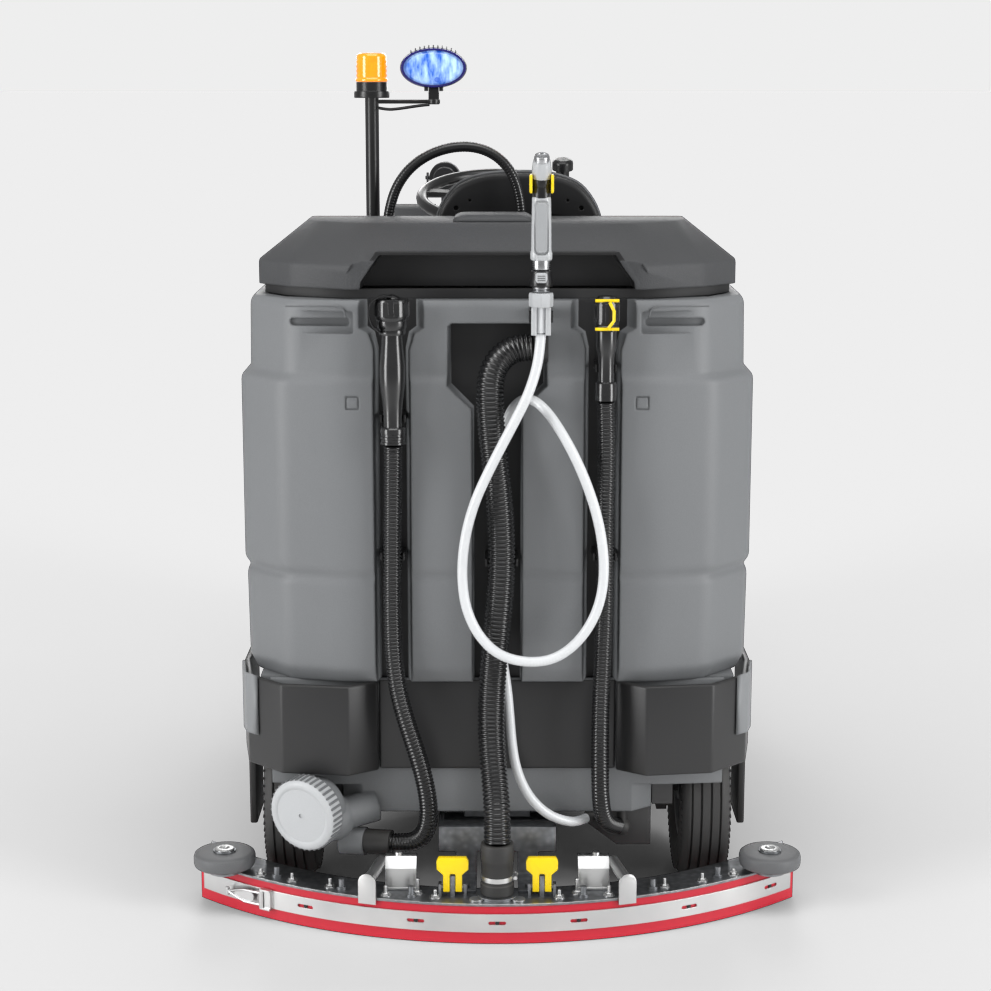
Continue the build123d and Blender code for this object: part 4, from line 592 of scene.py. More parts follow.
spray_route = [(80, -826, 1148.4), (78, -829, 1116), (70, -836, 1076), (55, -844, 1034), (32, -849, 989),
               (5, -851, 938), (-18, -851, 892), (-40, -847, 843), (-56, -841, 790), (-65, -838, 734),
               (-66, -837, 680), (-58, -839, 628), (-35, -845, 580), (2, -852, 545), (52, -853, 531),
               (104, -848, 534), (148, -840, 562), (180, -833, 606), (197, -828, 655), (201, -826, 712),
               (195, -826, 768), (183, -826, 820), (165, -826, 872), (143, -825, 922), (118, -820, 966),
               (94, -808, 1000), (70, -790, 1020), (48, -770, 1020), (28, -756, 1000), (14, -752, 965),
               (7, -752, 915), (5, -752, 862), (3, -751, 800), (4, -752, 726), (3, -751, 648),
               (4, -754, 574),
               (10, -764, 512), (19, -775, 458), (24, -782, 402), (28, -789, 350), (37, -796, 300),
               (58, -799, 252), (92, -796, 214), (128, -784, 194), (156, -765, 185), (174, -745, 186)]
arc_route = [(-223, -376, 1216), (-225, -376, 1258), (-224, -375, 1304), (-218, -375, 1350),
             (-203, -376, 1396),
             (-172, -376, 1436), (-128, -376, 1463), (-76, -376, 1475), (-30, -376, 1470), (8, -376, 1449),
             (34, -376, 1414), (47, -376, 1368), (51, -375, 1316), (50, -375, 1264), (50, -376, 1216)]
cable_route = [(-241.2, -353, 1550), (-222, -358, 1546), (-198, -359, 1548), (-172, -359, 1552),
               (-150, -358, 1555), (-137, -355, 1556)]

# %% Make the hoses
hose("Suction_hose", "suction_hose", suction_route, 52, 8.2, 3.0, finish["hose_black"], "root",
     "hose_black")
hose("Drain_hose", "drain_hose", drain_route, 36, 7.0, 2.3, finish["hose_black"], "root", "hose_black")
hose("Level_hose", "level_hose", level_route, 35, 7.0, 2.3, finish["hose_black"], "root", "hose_black")
hose("Spray_hose", "spray_hose", spray_route, 19, 6.0, 0.15, finish["hose_clear"], "root", "hose_clear")
hose("Arched_hose", "arc_hose", arc_route, 20, 6.0, 0.4, finish["hose_black"], "root", "hose_black")
hose("Light_cable", "light_cable", cable_route, 5, 4.0, 0.0, finish["cable_black"], "root", "cable_black")

# %% [markdown]
# ## The recovery tank
# The tank is one rotomoulded shell. Its plan outline has facets, and its height has a foot, a crease,
# a shoulder and a rim. Both are drawn with rounded corners and lofted, which gives the soft edges of
# rotomoulding. The channels for the hoses are cut out afterwards with tapered tools, and their faces
# get a darker finish: painted shade, for the shade that falls deep inside them.

# %% Rounded outlines
def eased(points, reach, steps=4, closed=False):
    """A polyline of vectors with each corner turned into a short curve."""
    points = [Vector(p) for p in points]
    result = []
    count = len(points)
    for i, corner in enumerate(points):
        if not closed and i in (0, count - 1):
            result.append(corner)
            continue
        before, after = points[i - 1], points[(i + 1) % count]
        back, ahead = before - corner, after - corner
        start = corner + back * min(reach / max(back.length, 1e-9), 0.45)
        stop = corner + ahead * min(reach / max(ahead.length, 1e-9), 0.45)
        for k in range(steps + 1):
            t = k / steps
            result.append(start * (1 - t) ** 2 + corner * (2 * t * (1 - t)) + stop * t ** 2)
    return result


def both_sides(points):
    """Half an outline, given at x > 0, closed by its mirror image."""
    return [*points, *[(-x, y) for x, y in reversed(points)]]


def mm(x, y, z):
    """A point in millimetres as a vector in metres."""
    return Vector((x, y, z)) / 1000


def prism(name, outline, start, stop, shrink=1.0):
    """A tool for cutting: an outline in X and Z that runs along Y from start to stop."""
    middle = sum((Vector(p) for p in outline), Vector((0, 0))) / len(outline)
    small = [middle + Vector(((p[0] - middle.x) * shrink, p[1] - middle.y)) for p in outline]
    return loft(name, [[mm(x, start, z) for x, z in outline], [mm(x, stop, z) for x, z in small]])


# %% Tank shell
TANK_BACK, TANK_FRONT, TANK_HALF = -775, -330, 493
tank_steps = [(468.3, 18, 12), (496, 6, 2), (664, 4, 0), (677, 11, 5), (692, 0, 0), (1050, 0, 0),
              (1064, 18, 8), (1193, 20, 8), (1203, 28, 14)]


def tank_ring(z, side_inset, rear_inset, soft=22):
    half = TANK_HALF - side_inset
    outline = both_sides([(300 - side_inset / 2, TANK_BACK + rear_inset),
                          (half - 83, TANK_BACK + 22 + rear_inset),
                          (half, TANK_BACK + 112 + rear_inset), (half, TANK_FRONT - side_inset / 2)])
    return [mm(p.x, p.y, z) for p in eased(outline, soft, 4, closed=True)]


tank = loft("Recovery_tank_shell", [tank_ring(*step) for step in eased(tank_steps, 9, 3)])
tools = []
for side in (-1, 1):
    centre = side * 198
    groove = [(centre - 41, 460), (centre - 41, 1112), (centre - 52, 1142), (centre - 74, 1152),
              (centre - 74, 1210),
              (centre + 74, 1210), (centre + 74, 1152), (centre + 52, 1142), (centre + 41, 1112),
              (centre + 41, 460)]
    tools.append(prism("Groove", groove, -800, -729, 0.62))
suction_groove = both_sides([(50, 460), (50, 1000), (99, 1044), (99, 1154), (92, 1161)])
tools.append(prism("Cavity", suction_groove, -800, -729, 0.88))
for side in (-1, 1):
    slot_outline = [(side * 332 + x, 1162 + z) for x, z in rounded(112, 15, 7)]
    tools.append(prism("Grip_slot", slot_outline, -800, -738))
    frame_outline = [(side * 338 + x, 1162 + z) for x, z in rounded(140, 42, 6)]
    tools.append(prism("Slot_frame", frame_outline, -800, -750.5))
    badge = [(side * 272 + x, 1012 + z) for x, z in rounded(26, 26, 3)]
    tools.append(prism("Badge", badge, -800, -772.5))
inside = [mm(x, y, 480.3) for x, y in both_sides([(260, -698), (300, -730), (400, -713), (459, -635),
                                                  (459, -354)])]
inside_top = [p + Vector((0, 0, 0.7107)) for p in inside]
tools.append(loft("Inside", [inside, inside_top]))
opening = [mm(x, y, 1180) for x, y in both_sides([(300, -700), (400, -685), (440, -625), (440, -445)])]
tools.append(loft("Opening", [opening, [p + Vector((0, 0, 0.04)) for p in opening]]))
for tool in tools:
    cut(tank, tool)

# %% Tank groove shade and details
tank.data.materials.append(finish["tank_grey"])
tank.data.materials.append(plastic("Groove painted shade", colour(30, 30, 31), 0.5, 700, 0.2, dust=0.0))
# Faces on the channel and cavity floors take the near-black finish: painted shade where the channels fall
# into shade.
for face in tank.data.polygons:
    middle = face.center
    in_groove = any(abs(middle.x - c) < 0.08 for c in (-0.198, 0, 0.198))
    if in_groove and middle.y > -0.7305 and middle.y < -0.7285 and middle.z > 0.46:
        face.material_index = 1
    if abs(middle.x) < 0.105 and middle.y > -0.7305 and middle.y < -0.7285:
        face.material_index = 1
extras = []
for side in (-1, 1):
    ring = [(side * 272 + x, 1012 + z) for x, z in rounded(20, 20, 2)]
    extras.append(prism("Badge_rise", ring, -772.5, -774.2))
    extras.append(box_between("Hinge_ear", mm(side * 300 - 7, -423, 1201), mm(side * 300 + 7, -397, 1326)))
for extra in extras:
    extra.data.materials.append(finish["tank_grey"])
    extra.data.materials.append(finish["tank_grey"])
tank = smooth(join("Recovery_tank_shell", [tank, *extras]))
fit_out(tank, None, "root", "tank_grey", "recovery_tank")
print("tank faces", len(tank.data.polygons))

# %% [markdown]
# ## The lid
# The lid is darker and rougher than the tank. It has an upright band, a sloping roof, and a wide
# recess at the back with a frame round it, where the hand lifts it.

# %% Lid shell
LID_FRONT = -430


def lid_ring(z, half, back, back_wide, back_corner, chamfer_y, chamfer_x, soft=14):
    outline = both_sides([(back_wide, back), (chamfer_x, back_corner), (half, chamfer_y),
                          (half, LID_FRONT)])
    return [mm(p.x, p.y, z) for p in eased(outline, soft, 4, closed=True)]


lid_steps = [(1222, 459, -761, 257, -696, -617, 389), (1267, 459, -761, 257, -696, -617, 389),
             (1338, 369, -650, 250, -585, -524, 345)]
lid = loft("Tank_lid_shell", [lid_ring(*step) for step in eased(lid_steps, 7, 3)])
hollow = [[mm(p.x, p.y, z) for p in eased(both_sides(o), 8, 2, closed=True)] for z, o in (
    (1221, [(254, -744), (384, -684), (452, -612), (452, -438)]),
    (1262, [(254, -744), (384, -684), (452, -612), (452, -438)]),
    (1331, [(246, -640), (338, -580), (366, -520), (362, -438)]))]
cut(lid, loft("Lid_hollow", hollow))
cut(lid, prism("Frame", both_sides([(292, 1210), (288, 1240), (246, 1310)]), -800, -749))
lid_recess = loft("Recess", [[mm(x, -800, z) for x, z in both_sides([(262, 1210), (258, 1236),
                                                            (224, 1288)])],
                             [mm(x, -691, z) for x, z in both_sides([(256, 1210), (252, 1236),
                                                            (216, 1284)])]])
recess_liner = loft("Recess_liner", [[mm(x, -748, z) for x,
                                      z in both_sides([(266, 1223), (262, 1238), (227, 1292)])],
                                     [mm(x, -684, z) for x,
                                      z in both_sides([(260, 1223), (256, 1238), (220, 1289)])]])
cut(recess_liner, loft("Recess_tool", [[mm(x, -800, z) for x,
                                        z in both_sides([(262, 1200), (258, 1236), (224, 1288)])],
                                       [mm(x, -691, z) for x,
                                        z in both_sides([(256, 1200), (252, 1236), (216, 1284)])]]))
cut(lid, lid_recess)
lid.data.materials.append(finish["lid_anthracite"])
lid.data.materials.append(finish["black_plastic"])
recess_liner.data.materials.append(plastic("Recess black", colour(26, 26, 27), 0.45, 600, 0.2, dust=0.0,
                                           edge=0.003))
lid_extras = [recess_liner]
for side in (-1, 1):
    lid_extras.append(box_between("Knuckle", mm(side * 276 - 10, -432, 1302),
                                  mm(side * 276 + 10, -404, 1322)))
    lid_extras.append(bar("Hinge_pin", [mm(side * 288 - 22, -410, 1312), mm(side * 288 + 22, -410, 1312)],
                          0.006))
seal = []
for inset in (0, 14):
    seal.append(both_sides([(290 - inset / 3, -727 + inset), (400 - inset / 2, -673 + inset),
                            (448 - inset, -605 + inset / 2),
                            (448 - inset, -432 - inset)]))
seal_ring = [[mm(x, y, z) for x, y in outline] for z, outline in ((1203.6, seal[0]), (1221.5, seal[0]))]
seal_piece = loft("Lid_seal", seal_ring)
cut(seal_piece, loft("Seal_tool", [[mm(x, y, z) for x, y in seal[1]] for z in (1200, 1225)]))
for extra in lid_extras[1:]:
    extra.data.materials.append(finish["lid_anthracite"])
seal_piece.data.materials.append(finish["black_rubber"])
lid = smooth(join("Tank_lid_shell", [lid, *lid_extras, seal_piece]))
fit_out(lid, None, "tank_lid", "lid_anthracite", "tank_lid")
print("lid faces", len(lid.data.polygons))

cover = soften(node_copy("turbine_cover", "Turbine_cover_shell"), 0.002, 2)
fit_out(smooth(cover), finish["lid_anthracite"], "tank_lid", "lid_anthracite", "turbine_cover")

# %% [markdown]
# ## Bumper, pads and flaps
# These are plain moulded shapes, so the CAD mesh is copied, its flat faces merged, and its edges rounded.

# %% Softened covers
for node, name, width, slot_name in (("rear_bumper", "Rear_bumper_cover", 0.004, "bumper_black"),
                                     ("corner_pads", "Corner_pads_soft", 0.003, "pad_grey"),
                                     ("mud_flaps", "Mud_flaps_soft", 0.003, "black_rubber"),
                                     ("battery_pack", "Battery_cases", 0.006, "battery_black")):
    cover = soften(node_copy(node, name), width)
    fit_out(smooth(cover), finish[slot_name], "root", slot_name, node)

# %% [markdown]
# ## Wheels
# A tyre is turned from its section, with grooves round the tread. Its side has short ribs, which
# Geometry Nodes set round the wheel: one block is copied on a circle of points, and each copy is
# turned to its own angle.

# %% Ring of blocks tree
ringed = bpy.data.node_groups.new("Ring of blocks", "GeometryNodeTree")
ringed.interface.new_socket("Geometry", in_out="INPUT", socket_type="NodeSocketGeometry")
for label, kind, value in (("Count", "NodeSocketInt", 24), ("Radius", FLOAT, 0.1),
                           ("Block size", VECTOR, (0.01, 0.01, 0.01)),
                           ("Finish", "NodeSocketMaterial", None)):
    socket = ringed.interface.new_socket(label, in_out="INPUT", socket_type=kind)
    if value is not None:
        socket.default_value = value
ringed.interface.new_socket("Geometry", in_out="OUTPUT", socket_type="NodeSocketGeometry")
g = Nodes(ringed)
entry = ringed.nodes.new("NodeGroupInput")
circle = g.add("GeometryNodeMeshCircle", Vertices=entry.outputs["Count"], Radius=entry.outputs["Radius"])
block = g.add("GeometryNodeMeshCube", Size=entry.outputs["Block size"])
turn = g.maths("MULTIPLY", g.maths("DIVIDE", g.add("GeometryNodeInputIndex").outputs[0],
                                   entry.outputs["Count"]), 2 * math.pi)
spin = g.add("ShaderNodeCombineXYZ", Z=turn)
copies = g.add("GeometryNodeInstanceOnPoints", Points=circle.outputs[0], Instance=block.outputs[0],
               Rotation=spin.outputs[0])
real = g.add("GeometryNodeRealizeInstances", Geometry=copies.outputs[0])
coated = g.add("GeometryNodeSetMaterial", Geometry=real.outputs[0], Material=entry.outputs["Finish"])
leave = ringed.nodes.new("NodeGroupOutput")
ringed.links.new(coated.outputs[0], leave.inputs["Geometry"])


def ring_of_blocks(name, count, radius, size, material, origin, direction):
    """Blocks set round an axis: size is (radial, tangential, along the axis)."""
    piece = run_tree(name, bpy.data.meshes.new(name), ringed, Count=count, Radius=radius,
                     **{"Block size": size},
                     Finish=material)
    side, up, along = axis_frame(direction)
    turn = Matrix((side, up, along)).transposed().to_4x4()
    piece.data.transform(Matrix.Translation(Vector(origin)) @ turn)
    return piece


# %% Tyres and wheels
for side, name in ((-1, "left"), (1, "right")):
    hub = mm(side * 413, -530, 190)
    section = [(120, -42), (132, -49.5), (160, -50), (170, -49), (180, -44), (188, -36), (190, -31),
               (190, -30), (183.5, -29.5), (183.5, -26.5), (190, -26), (190, -12), (183.5, -11.5),
               (183.5, -8), (190, -7.5),
               (190, 7.5), (183.5, 8), (183.5, 11.5), (190, 12), (190, 26), (183.5, 26.5), (183.5, 29.5),
               (190, 30),
               (190, 31), (188, 36), (180, 44), (170, 49), (160, 50), (132, 49.5), (120, 42), (118, 40),
               (118, -40)]
    rings = []
    for k in range(96):
        a = 2 * math.pi * k / 96
        rings.append([hub + Vector((x / 1000, r / 1000 * math.cos(a), r / 1000 * math.sin(a))) for r,
                      x in section])
    tyre = loft(f"Tyre_{name}_tread", [*rings, rings[0]], caps=False)
    tyre.data.materials.append(finish["tyre_rubber"])
    ribs = []
    for face in (-1, 1):
        ribs.append(ring_of_blocks("Side_ribs", 72, 0.171, (0.014, 0.004, 0.0016), finish["tyre_rubber"],
                                   hub + Vector((face * 0.0488, 0, 0)), (1, 0, 0)))
        ribs.append(ring_of_blocks("Side_lugs", 36, 0.14, (0.004, 0.012, 0.0012), finish["tyre_rubber"],
                                   hub + Vector((face * 0.0496, 0, 0)), (1, 0, 0)))
    tyre = smooth(join(f"Tyre_{name}_tread", [tyre, *ribs]))
    fit_out(tyre, None, f"rear_wheel_{name}", "tyre_rubber", f"tyre_{name}")
    wheel = smooth(soften(node_copy(f"wheel_{name}", f"Wheel_{name}_rim"), 0.0015, 2))
    fit_out(wheel, finish["rim_grey"], f"rear_wheel_{name}", "rim_grey", f"wheel_{name}")

# %% [markdown]
# ## Squeegee rubber and strap
# The blade is a long curved strip. It shows a red band above and below the steel strap that clamps
# it, and red again in the strap's slots, where black pins hold it.

# %% Squeegee strips
ARC_Y = -67


def arc_at(radius, x):
    """A point on a squeegee arc, in millimetres."""
    return x, ARC_Y - math.sqrt(radius * radius - x * x)


def arc_strip(name, outer, inner, reach, low, high, count=96, edge=0.8):
    """A curved strip with rounded upper and lower edges."""
    rings = []
    for i in range(count + 1):
        x = -reach + 2 * reach * i / count
        a = arc_at(outer, x)
        b = arc_at(inner, x * inner / outer)
        across = Vector((b[0] - a[0], b[1] - a[1]))
        rings.append([mm(a[0] + across.x * s, a[1] + across.y * s, z) for s, z in (
            (0.0, low + edge), (0.12, low), (0.88, low), (1.0, low + edge), (1.0, high - edge),
            (0.88, high),
            (0.12, high), (0.0, high - edge))])
    return loft(name, rings)


blade = arc_strip("Squeegee_blade", 859.8, 854.2, 590, 1.2, 75.4)
front_blade = arc_strip("Front_blade", 778.6, 773.8, 545, 1.2, 61.8)
blade = smooth(join("Squeegee_blade", [blade, front_blade]))
fit_out(blade, finish["squeegee_red"], "squeegee", "squeegee_red", "squeegee_blades")

strap = arc_strip("Clamp_strap_band", 863, 860.3, 584, 24.2, 60.8, edge=0.3)
slot_pins = []
for x in (-370, -155, 0, 155, 370, 540):
    px, py = arc_at(863, x)
    facing = Vector((x, py - ARC_Y, 0)).normalized()
    across = Vector((-facing.y, facing.x, 0))
    outline = [(a / 1000, b / 1000) for a, b in rounded(34, 7, 3.4)]
    start = mm(px, py, 43) - facing * 0.008
    tool = plate("Slot_tool", outline, start, across, (0, 0, 1), 0.016)
    cut(strap, tool)
    pin = turned("Blade_pin", [(0.0, 0.0), (0.0042, 0.0), (0.0042, 0.0022), (0.003, 0.003), (0.0, 0.003)],
                 mm(px, py, 43) - facing * 0.0032, facing, 16)
    pin.data.materials.append(finish["black_plastic"])
    slot_pins.append(pin)
strap.data.materials.append(finish["stainless"])
latch_turn = math.atan2(-455, -67 - arc_at(863, -455)[1])
latch_along = Vector((math.cos(latch_turn), math.sin(latch_turn), 0))
latch_out = Vector((math.sin(latch_turn), -math.cos(latch_turn), 0))
latch_base = mm(*arc_at(863, -455), 0)


def latch_point(along, out, z):
    return latch_base + latch_along * (along / 1000) + latch_out * (out / 1000) + Vector((0, 0, z / 1000))


latch_bits = [bar("Latch_pin", [latch_point(0, 7, 22.5), latch_point(0, 7, 62.5)], 0.003)]
for z in (22, 59):
    latch_bits.append(plate("Latch_ear", [(-0.003, 0), (0.021, 0), (0.021, 0.01), (-0.003, 0.01)],
                            latch_point(0, 0, z), latch_along, latch_out, -0.004))
latch_bits.append(plate("Latch_block", [(0.007, -0.001), (0.021, -0.001), (0.021, 0.007), (0.007, 0.007)],
                        latch_point(0, 0, 24.3), latch_along, latch_out, -0.0366))
for bit in latch_bits:
    bit.data.materials.append(finish["stainless"])
strap = smooth(join("Clamp_strap_band", [strap, *slot_pins, *latch_bits]))
fit_out(strap, None, "squeegee", "stainless", "clamp_strap")

# %% Strap latch
link = []
for z in (30, 54):
    link.append(bar("Link_rod", [latch_point(-2, 7, z), latch_point(-40, 9, z),
                                 latch_point(-60, 8, z - (z - 42) * 0.4),
                                 latch_point(-84, 6.5, 42)], 0.0026, 12))
link.append(plate("Link_plate", rounded(0.046, 0.020, 0.008), latch_point(-42, 6.2, 42), latch_along,
                  (0, 0, 1), 0.0022))
link.append(bar("Link_eye", [latch_point(0, 7, 26.4), latch_point(0, 7, 58.6)], 0.0052, 20))
link.append(bar("Link_end", [latch_point(-84, 6.5, 34), latch_point(-84, 6.5, 50)], 0.004, 16))
latch = smooth(join("Strap_latch_link", link))
fit_out(latch, finish["stainless"], "strap_latch", "stainless", "strap_latch")

# %% [markdown]
# ## Squeegee plate, levers and hose cuff
# The plate is galvanised sheet with a bright rear lip. Bolts, nuts and studs along it are all turned
# shapes; hexagons come from the same helper with six segments.

# %% Nuts and studs
def hex_nut(origin, direction=(0, 0, 1), size=0.008, height=0.006):
    """A nut with chamfered corners."""
    return turned("Nut", [(size * 0.86, 0), (size, 0.0008), (size, height - 0.0008), (size * 0.86, height)],
                  origin, direction, 6)


def stud(origin, height=0.03, radius=0.0035):
    return turned("Stud", [(radius, 0), (radius, height - 0.001), (radius * 0.7, height)], origin,
                  (0, 0, 1), 16)


plate_bits = []
for x, y, tall in ((-244, -868, 0.026), (-213, -882, 0.020), (-152, -872, 0.030), (-118, -892, 0.016),
                   (152, -872, 0.030), (118, -892, 0.016), (213, -882, 0.020), (250, -868, 0.026),
                   (-322, -838, 0.018),
                   (322, -838, 0.018), (-398, -806, 0.016), (398, -806, 0.016), (-462, -775, 0.012),
                   (462, -775, 0.012)):
    plate_bits.append(hex_nut(mm(x, y, 80.2)))
    plate_bits.append(stud(mm(x, y, 80.2), tall))
    plate_bits.append(turned("Washer", [(0.011, 0), (0.011, 0.0015)], mm(x, y, 80.1), (0, 0, 1), 24))
for side in (-1, 1):
    plate_bits.append(turned("Lever_washer", [(0.013, 0), (0.013, 0.003), (0.006, 0.004)],
                             mm(side * 40, -906, 80.1)))
for bit in plate_bits:
    bit.data.materials.append(finish["stainless"])
lip = arc_strip("Plate_lip", 861.6, 857.5, 575, 76.2, 80.4, edge=0.4)
lip.data.materials.append(finish["stainless"])
hardware = smooth(join("Plate_hardware", [*plate_bits, lip]))
fit_out(hardware, None, "squeegee", "stainless")

# %% Clamp levers
for side, name in ((-1, "left"), (1, "right")):
    shape = [(-18, 90.5), (-18, 124), (-30, 135), (-30.5, 150), (-26, 158), (26, 158), (30.5, 150),
             (30, 135), (18, 124),
             (18, 90.5), (5.5, 90.5), (5.5, 124), (4, 126), (-4, 126), (-5.5, 124), (-5.5, 90.5)]
    head = [(side * 85 + x, z) for x, z in shape]
    lever = prism("Lever", head, -878.2, -891.8)
    cut(lever, bar("Pin_bore", [mm(side * 85 - 40, -885, 98), mm(side * 85 + 40, -885, 98)], 0.00405, 24))
    lever = smooth(soften(lever, 0.0016, 2))
    fit_out(lever, finish["lever_yellow"], f"clamp_lever_{name}", "lever_yellow", f"clamp_lever_{name}")

# %% Cuff with its clamps
def band_clamp(name, origin, direction, radius, width=0.009):
    """A worm-drive hose clamp: a thin band, a screw housing and its screw."""
    side, up, along = axis_frame(direction)
    band = turned(name, [(radius, -width / 2), (radius + 0.0012, -width / 2), (radius + 0.0012, width / 2),
                         (radius, width / 2)],
                  origin, direction, 48)
    centre = Vector(origin) + side * (radius + 0.004)
    screw = bar("Screw", [centre - up * 0.012, centre + up * 0.010], 0.004, 14)
    head = turned("Screw_head", [(0.0055, 0), (0.0055, 0.004), (0.0045, 0.005)], centre + up * 0.010, up, 6)
    return [band, screw, head]


cuff = turned("Squeegee_cuff_sleeve", [(0.0215, 0), (0.0262, 0.0002), (0.0315, 0.0004), (0.0315, 0.020),
                                       (0.030, 0.022), (0.030, 0.062), (0.0312, 0.064),
                                       (0.0318, 0.070), (0.0318, 0.096), (0.0305, 0.0995),
                                       (0.0245, 0.0998), (0.021, 0.099),
                                       (0.021, 0.0005)], mm(0, -880, 85.4), (0, 0, 1), 64)
cuff.data.materials.append(finish["black_rubber"])
clamp = []
for bit in band_clamp("Cuff_clamp", mm(0, -880, 118), (0, 0, 1), 0.0302):
    bit.data.materials.append(finish["stainless"])
    clamp.append(bit)
cuff = smooth(join("Squeegee_cuff_sleeve", [cuff, *clamp]))
fit_out(cuff, None, "squeegee", "black_rubber", "squeegee_cuff")

# %% Rollers
for side, name in ((-1, "left"), (1, "right")):
    centre = mm(side * 536, -745, 88)
    roller = turned("Roller", [(0.0081, 0.0), (0.050, 0.0), (0.055, 0.0012), (0.0585, 0.004),
                               (0.060, 0.009), (0.060, 0.021),
                               (0.0585, 0.026), (0.055, 0.0288), (0.050, 0.030), (0.022, 0.0300),
                               (0.020, 0.0285), (0.0081, 0.0285)],
                    centre, (0, 0, 1), 72)
    bore = bar("Roller_bore", [centre - Vector((0, 0, 0.01)), centre + Vector((0, 0, 0.04))], 0.0081, 32)
    cut(roller, bore)
    fit_out(smooth(roller), finish["roller_grey"], f"roller_{name}", "roller_grey", f"roller_{name}")
    cap = [turned("Roller_cap", [(0.019, 0.0), (0.0195, 0.001), (0.0195, 0.0022), (0.017, 0.0034),
                                 (0.0105, 0.0036), (0.0095, 0.0024),
                                 (0.0, 0.0024)], mm(side * 536, -745, 121.4), (0, 0, 1), 40),
           turned("Roller_screw", [(0.0088, 0), (0.0088, 0.0012), (0.006, 0.0028), (0.0022, 0.0032),
                                   (0.0, 0.0018)],
                  mm(side * 536, -745, 123.6), (0, 0, 1), 24)]
    cap = smooth(join(f"Roller_{name}_cap", cap))
    fit_out(cap, finish["stainless"], "squeegee", "stainless")

# %% [markdown]
# ## Drain cap
# The cap is a turned dish with a rim of fine grip ribs, which the ring tree sets round it.

# %% Drain cap
cap_axis = Vector((-0.467, -0.881, -0.068)).normalized()
cap_origin = mm(-377, -832, 220)
cap = turned("Drain_cap_dish", [(0.0584, -0.038), (0.070, -0.038), (0.0705, -0.036), (0.0705, -0.006),
                                (0.068, -0.0025),
                                (0.062, 0.0), (0.056, -0.0008), (0.054, -0.0022), (0.020, -0.0012),
                                (0.0045, -0.001), (0.004, -0.0035),
                                (0.0, -0.0035)], cap_origin, cap_axis, 80)
hollow = bar("Cap_hollow", [cap_origin - cap_axis * 0.05, cap_origin - cap_axis * 0.0062], 0.0584, 64)
cut(cap, hollow)
cap.data.materials.append(finish["cap_grey"])
grips = ring_of_blocks("Cap_grips", 40, 0.0705, (0.0055, 0.0045, 0.032),
                       plastic("Cap rim", colour(104, 106, 108), 0.5, 600, 0.2, edge=0.002),
                       cap_origin - cap_axis * 0.0215, cap_axis)
grips = soften(grips, 0.001, 1)
cap = smooth(join("Drain_cap_dish", [cap, grips]))
fit_out(cap, None, "drain_cap", "cap_grey", "drain_cap")
# %% [markdown]
# ## The seat
# The seat has a moulded shell and two cushions. The cushions start as smaller closed forms and are
# blown up by a cloth simulation, so that their sides pull in and their faces crown. Their seams and
# piping come afterwards. The grey piping along the shell's rim is partly the piping's own colour and partly
# a painted highlight of the rounded edge, and a red cord runs along the rim too.

# %% Seat shell
LEAN = math.radians(7)
seat_finish = finish["seat_vinyl"]
shell_black = plastic("Shell black", colour(24, 24, 25), 0.42, 500, 0.25, dust=0.0, edge=0.003)
shell_half = [(190, -22), (190, 300), (180, 372), (160, 446), (128, 490), (86, 508), (40, 515)]


def seat_point(x, up, out):
    """A point on the seat's back: across, up the lean, and out to the rear, in millimetres."""
    return mm(44 + x, -278 - math.sin(LEAN) * up - math.cos(LEAN) * out,
              905 + math.cos(LEAN) * up - math.sin(LEAN) * out)


def back_outline(half, inset=0.0):
    """The whole outline of the back, moved in by an inset."""
    points = eased([Vector(p) for p in both_sides(half)], 26, 4, closed=True)
    return [(p.x * (1 - inset / 190), (p.y - 240) * (1 - inset / 260) + 240) for p in points]


rings = [[seat_point(x, up, out) for x, up in back_outline(shell_half, inset)]
         for out, inset in ((-30, 2), (-28, 0), (-8, 0), (-3, 1.5), (-0.5, 5), (0, 9))]
shell = loft("Seat_shell_moulded", rings)
panel_half = [(158, 60), (154, 300), (140, 396), (112, 430), (60, 436)]
panel_rings = [[seat_point(x * s, 240 + (up - 240) * s, out) for x, up in both_sides(panel_half)]
               for out, s in ((-11, 0.93), (6, 1.03))]
cut(shell, loft("Panel", panel_rings))
for side in (-1, 1):
    for x, up, radius in ((128, 446, 0.005), (100, 462, 0.003)):
        cut(shell, bar("Hole", [seat_point(side * x, up, -12), seat_point(side * x, up, 4)], radius))
pan = [[mm(44 + x, -112 + y, z) for x, y in rounded(420 - inset, 396 - inset, 40)]
       for z, inset in ((888, 12), (891, 0), (904.7, 0))]
shell_parts = [shell, loft("Pan", pan)]
for side in (-1, 1):
    shell_parts.append(box_between("Runner", mm(44 + side * 150 - 20, -284, 870.3),
                                   mm(44 + side * 150 + 20, 46, 888.3)))
for part in shell_parts:
    part.data.materials.append(shell_black)
# The rim piping is grey, lighter than the shell: partly the piping's own colour, partly a painted highlight
# of the shell's rounded edge.
rim_grey = plastic("Rim piping highlight", colour(96, 97, 99), 0.4, 900, 0.15, dust=0.0)
rim_line = [seat_point(x, up, -29) for x, up in back_outline(shell_half, -1.5) if up > 40]
rim_left = [p for p in rim_line if p.x < 0.044]
rim_right = [p for p in rim_line if p.x >= 0.044]
rim = bar("Rim_piping_highlight", [*sorted(rim_right, key=lambda p: p.z), *sorted(rim_left, key=lambda p: -p.z)],
          0.0028, 10)
rim.data.materials.append(rim_grey)
red_line = [seat_point(x, up, -33) for x, up in back_outline(shell_half, 1.0) if up > 470]
red = bar("Red_cord", sorted(red_line, key=lambda p: p.x), 0.0016, 8)
red.data.materials.append(finish["stop_red"])
shell = smooth(join("Seat_shell_moulded", [*shell_parts, rim, red]))
fit_out(shell, None, "seat", "black_plastic", "seat_shell")

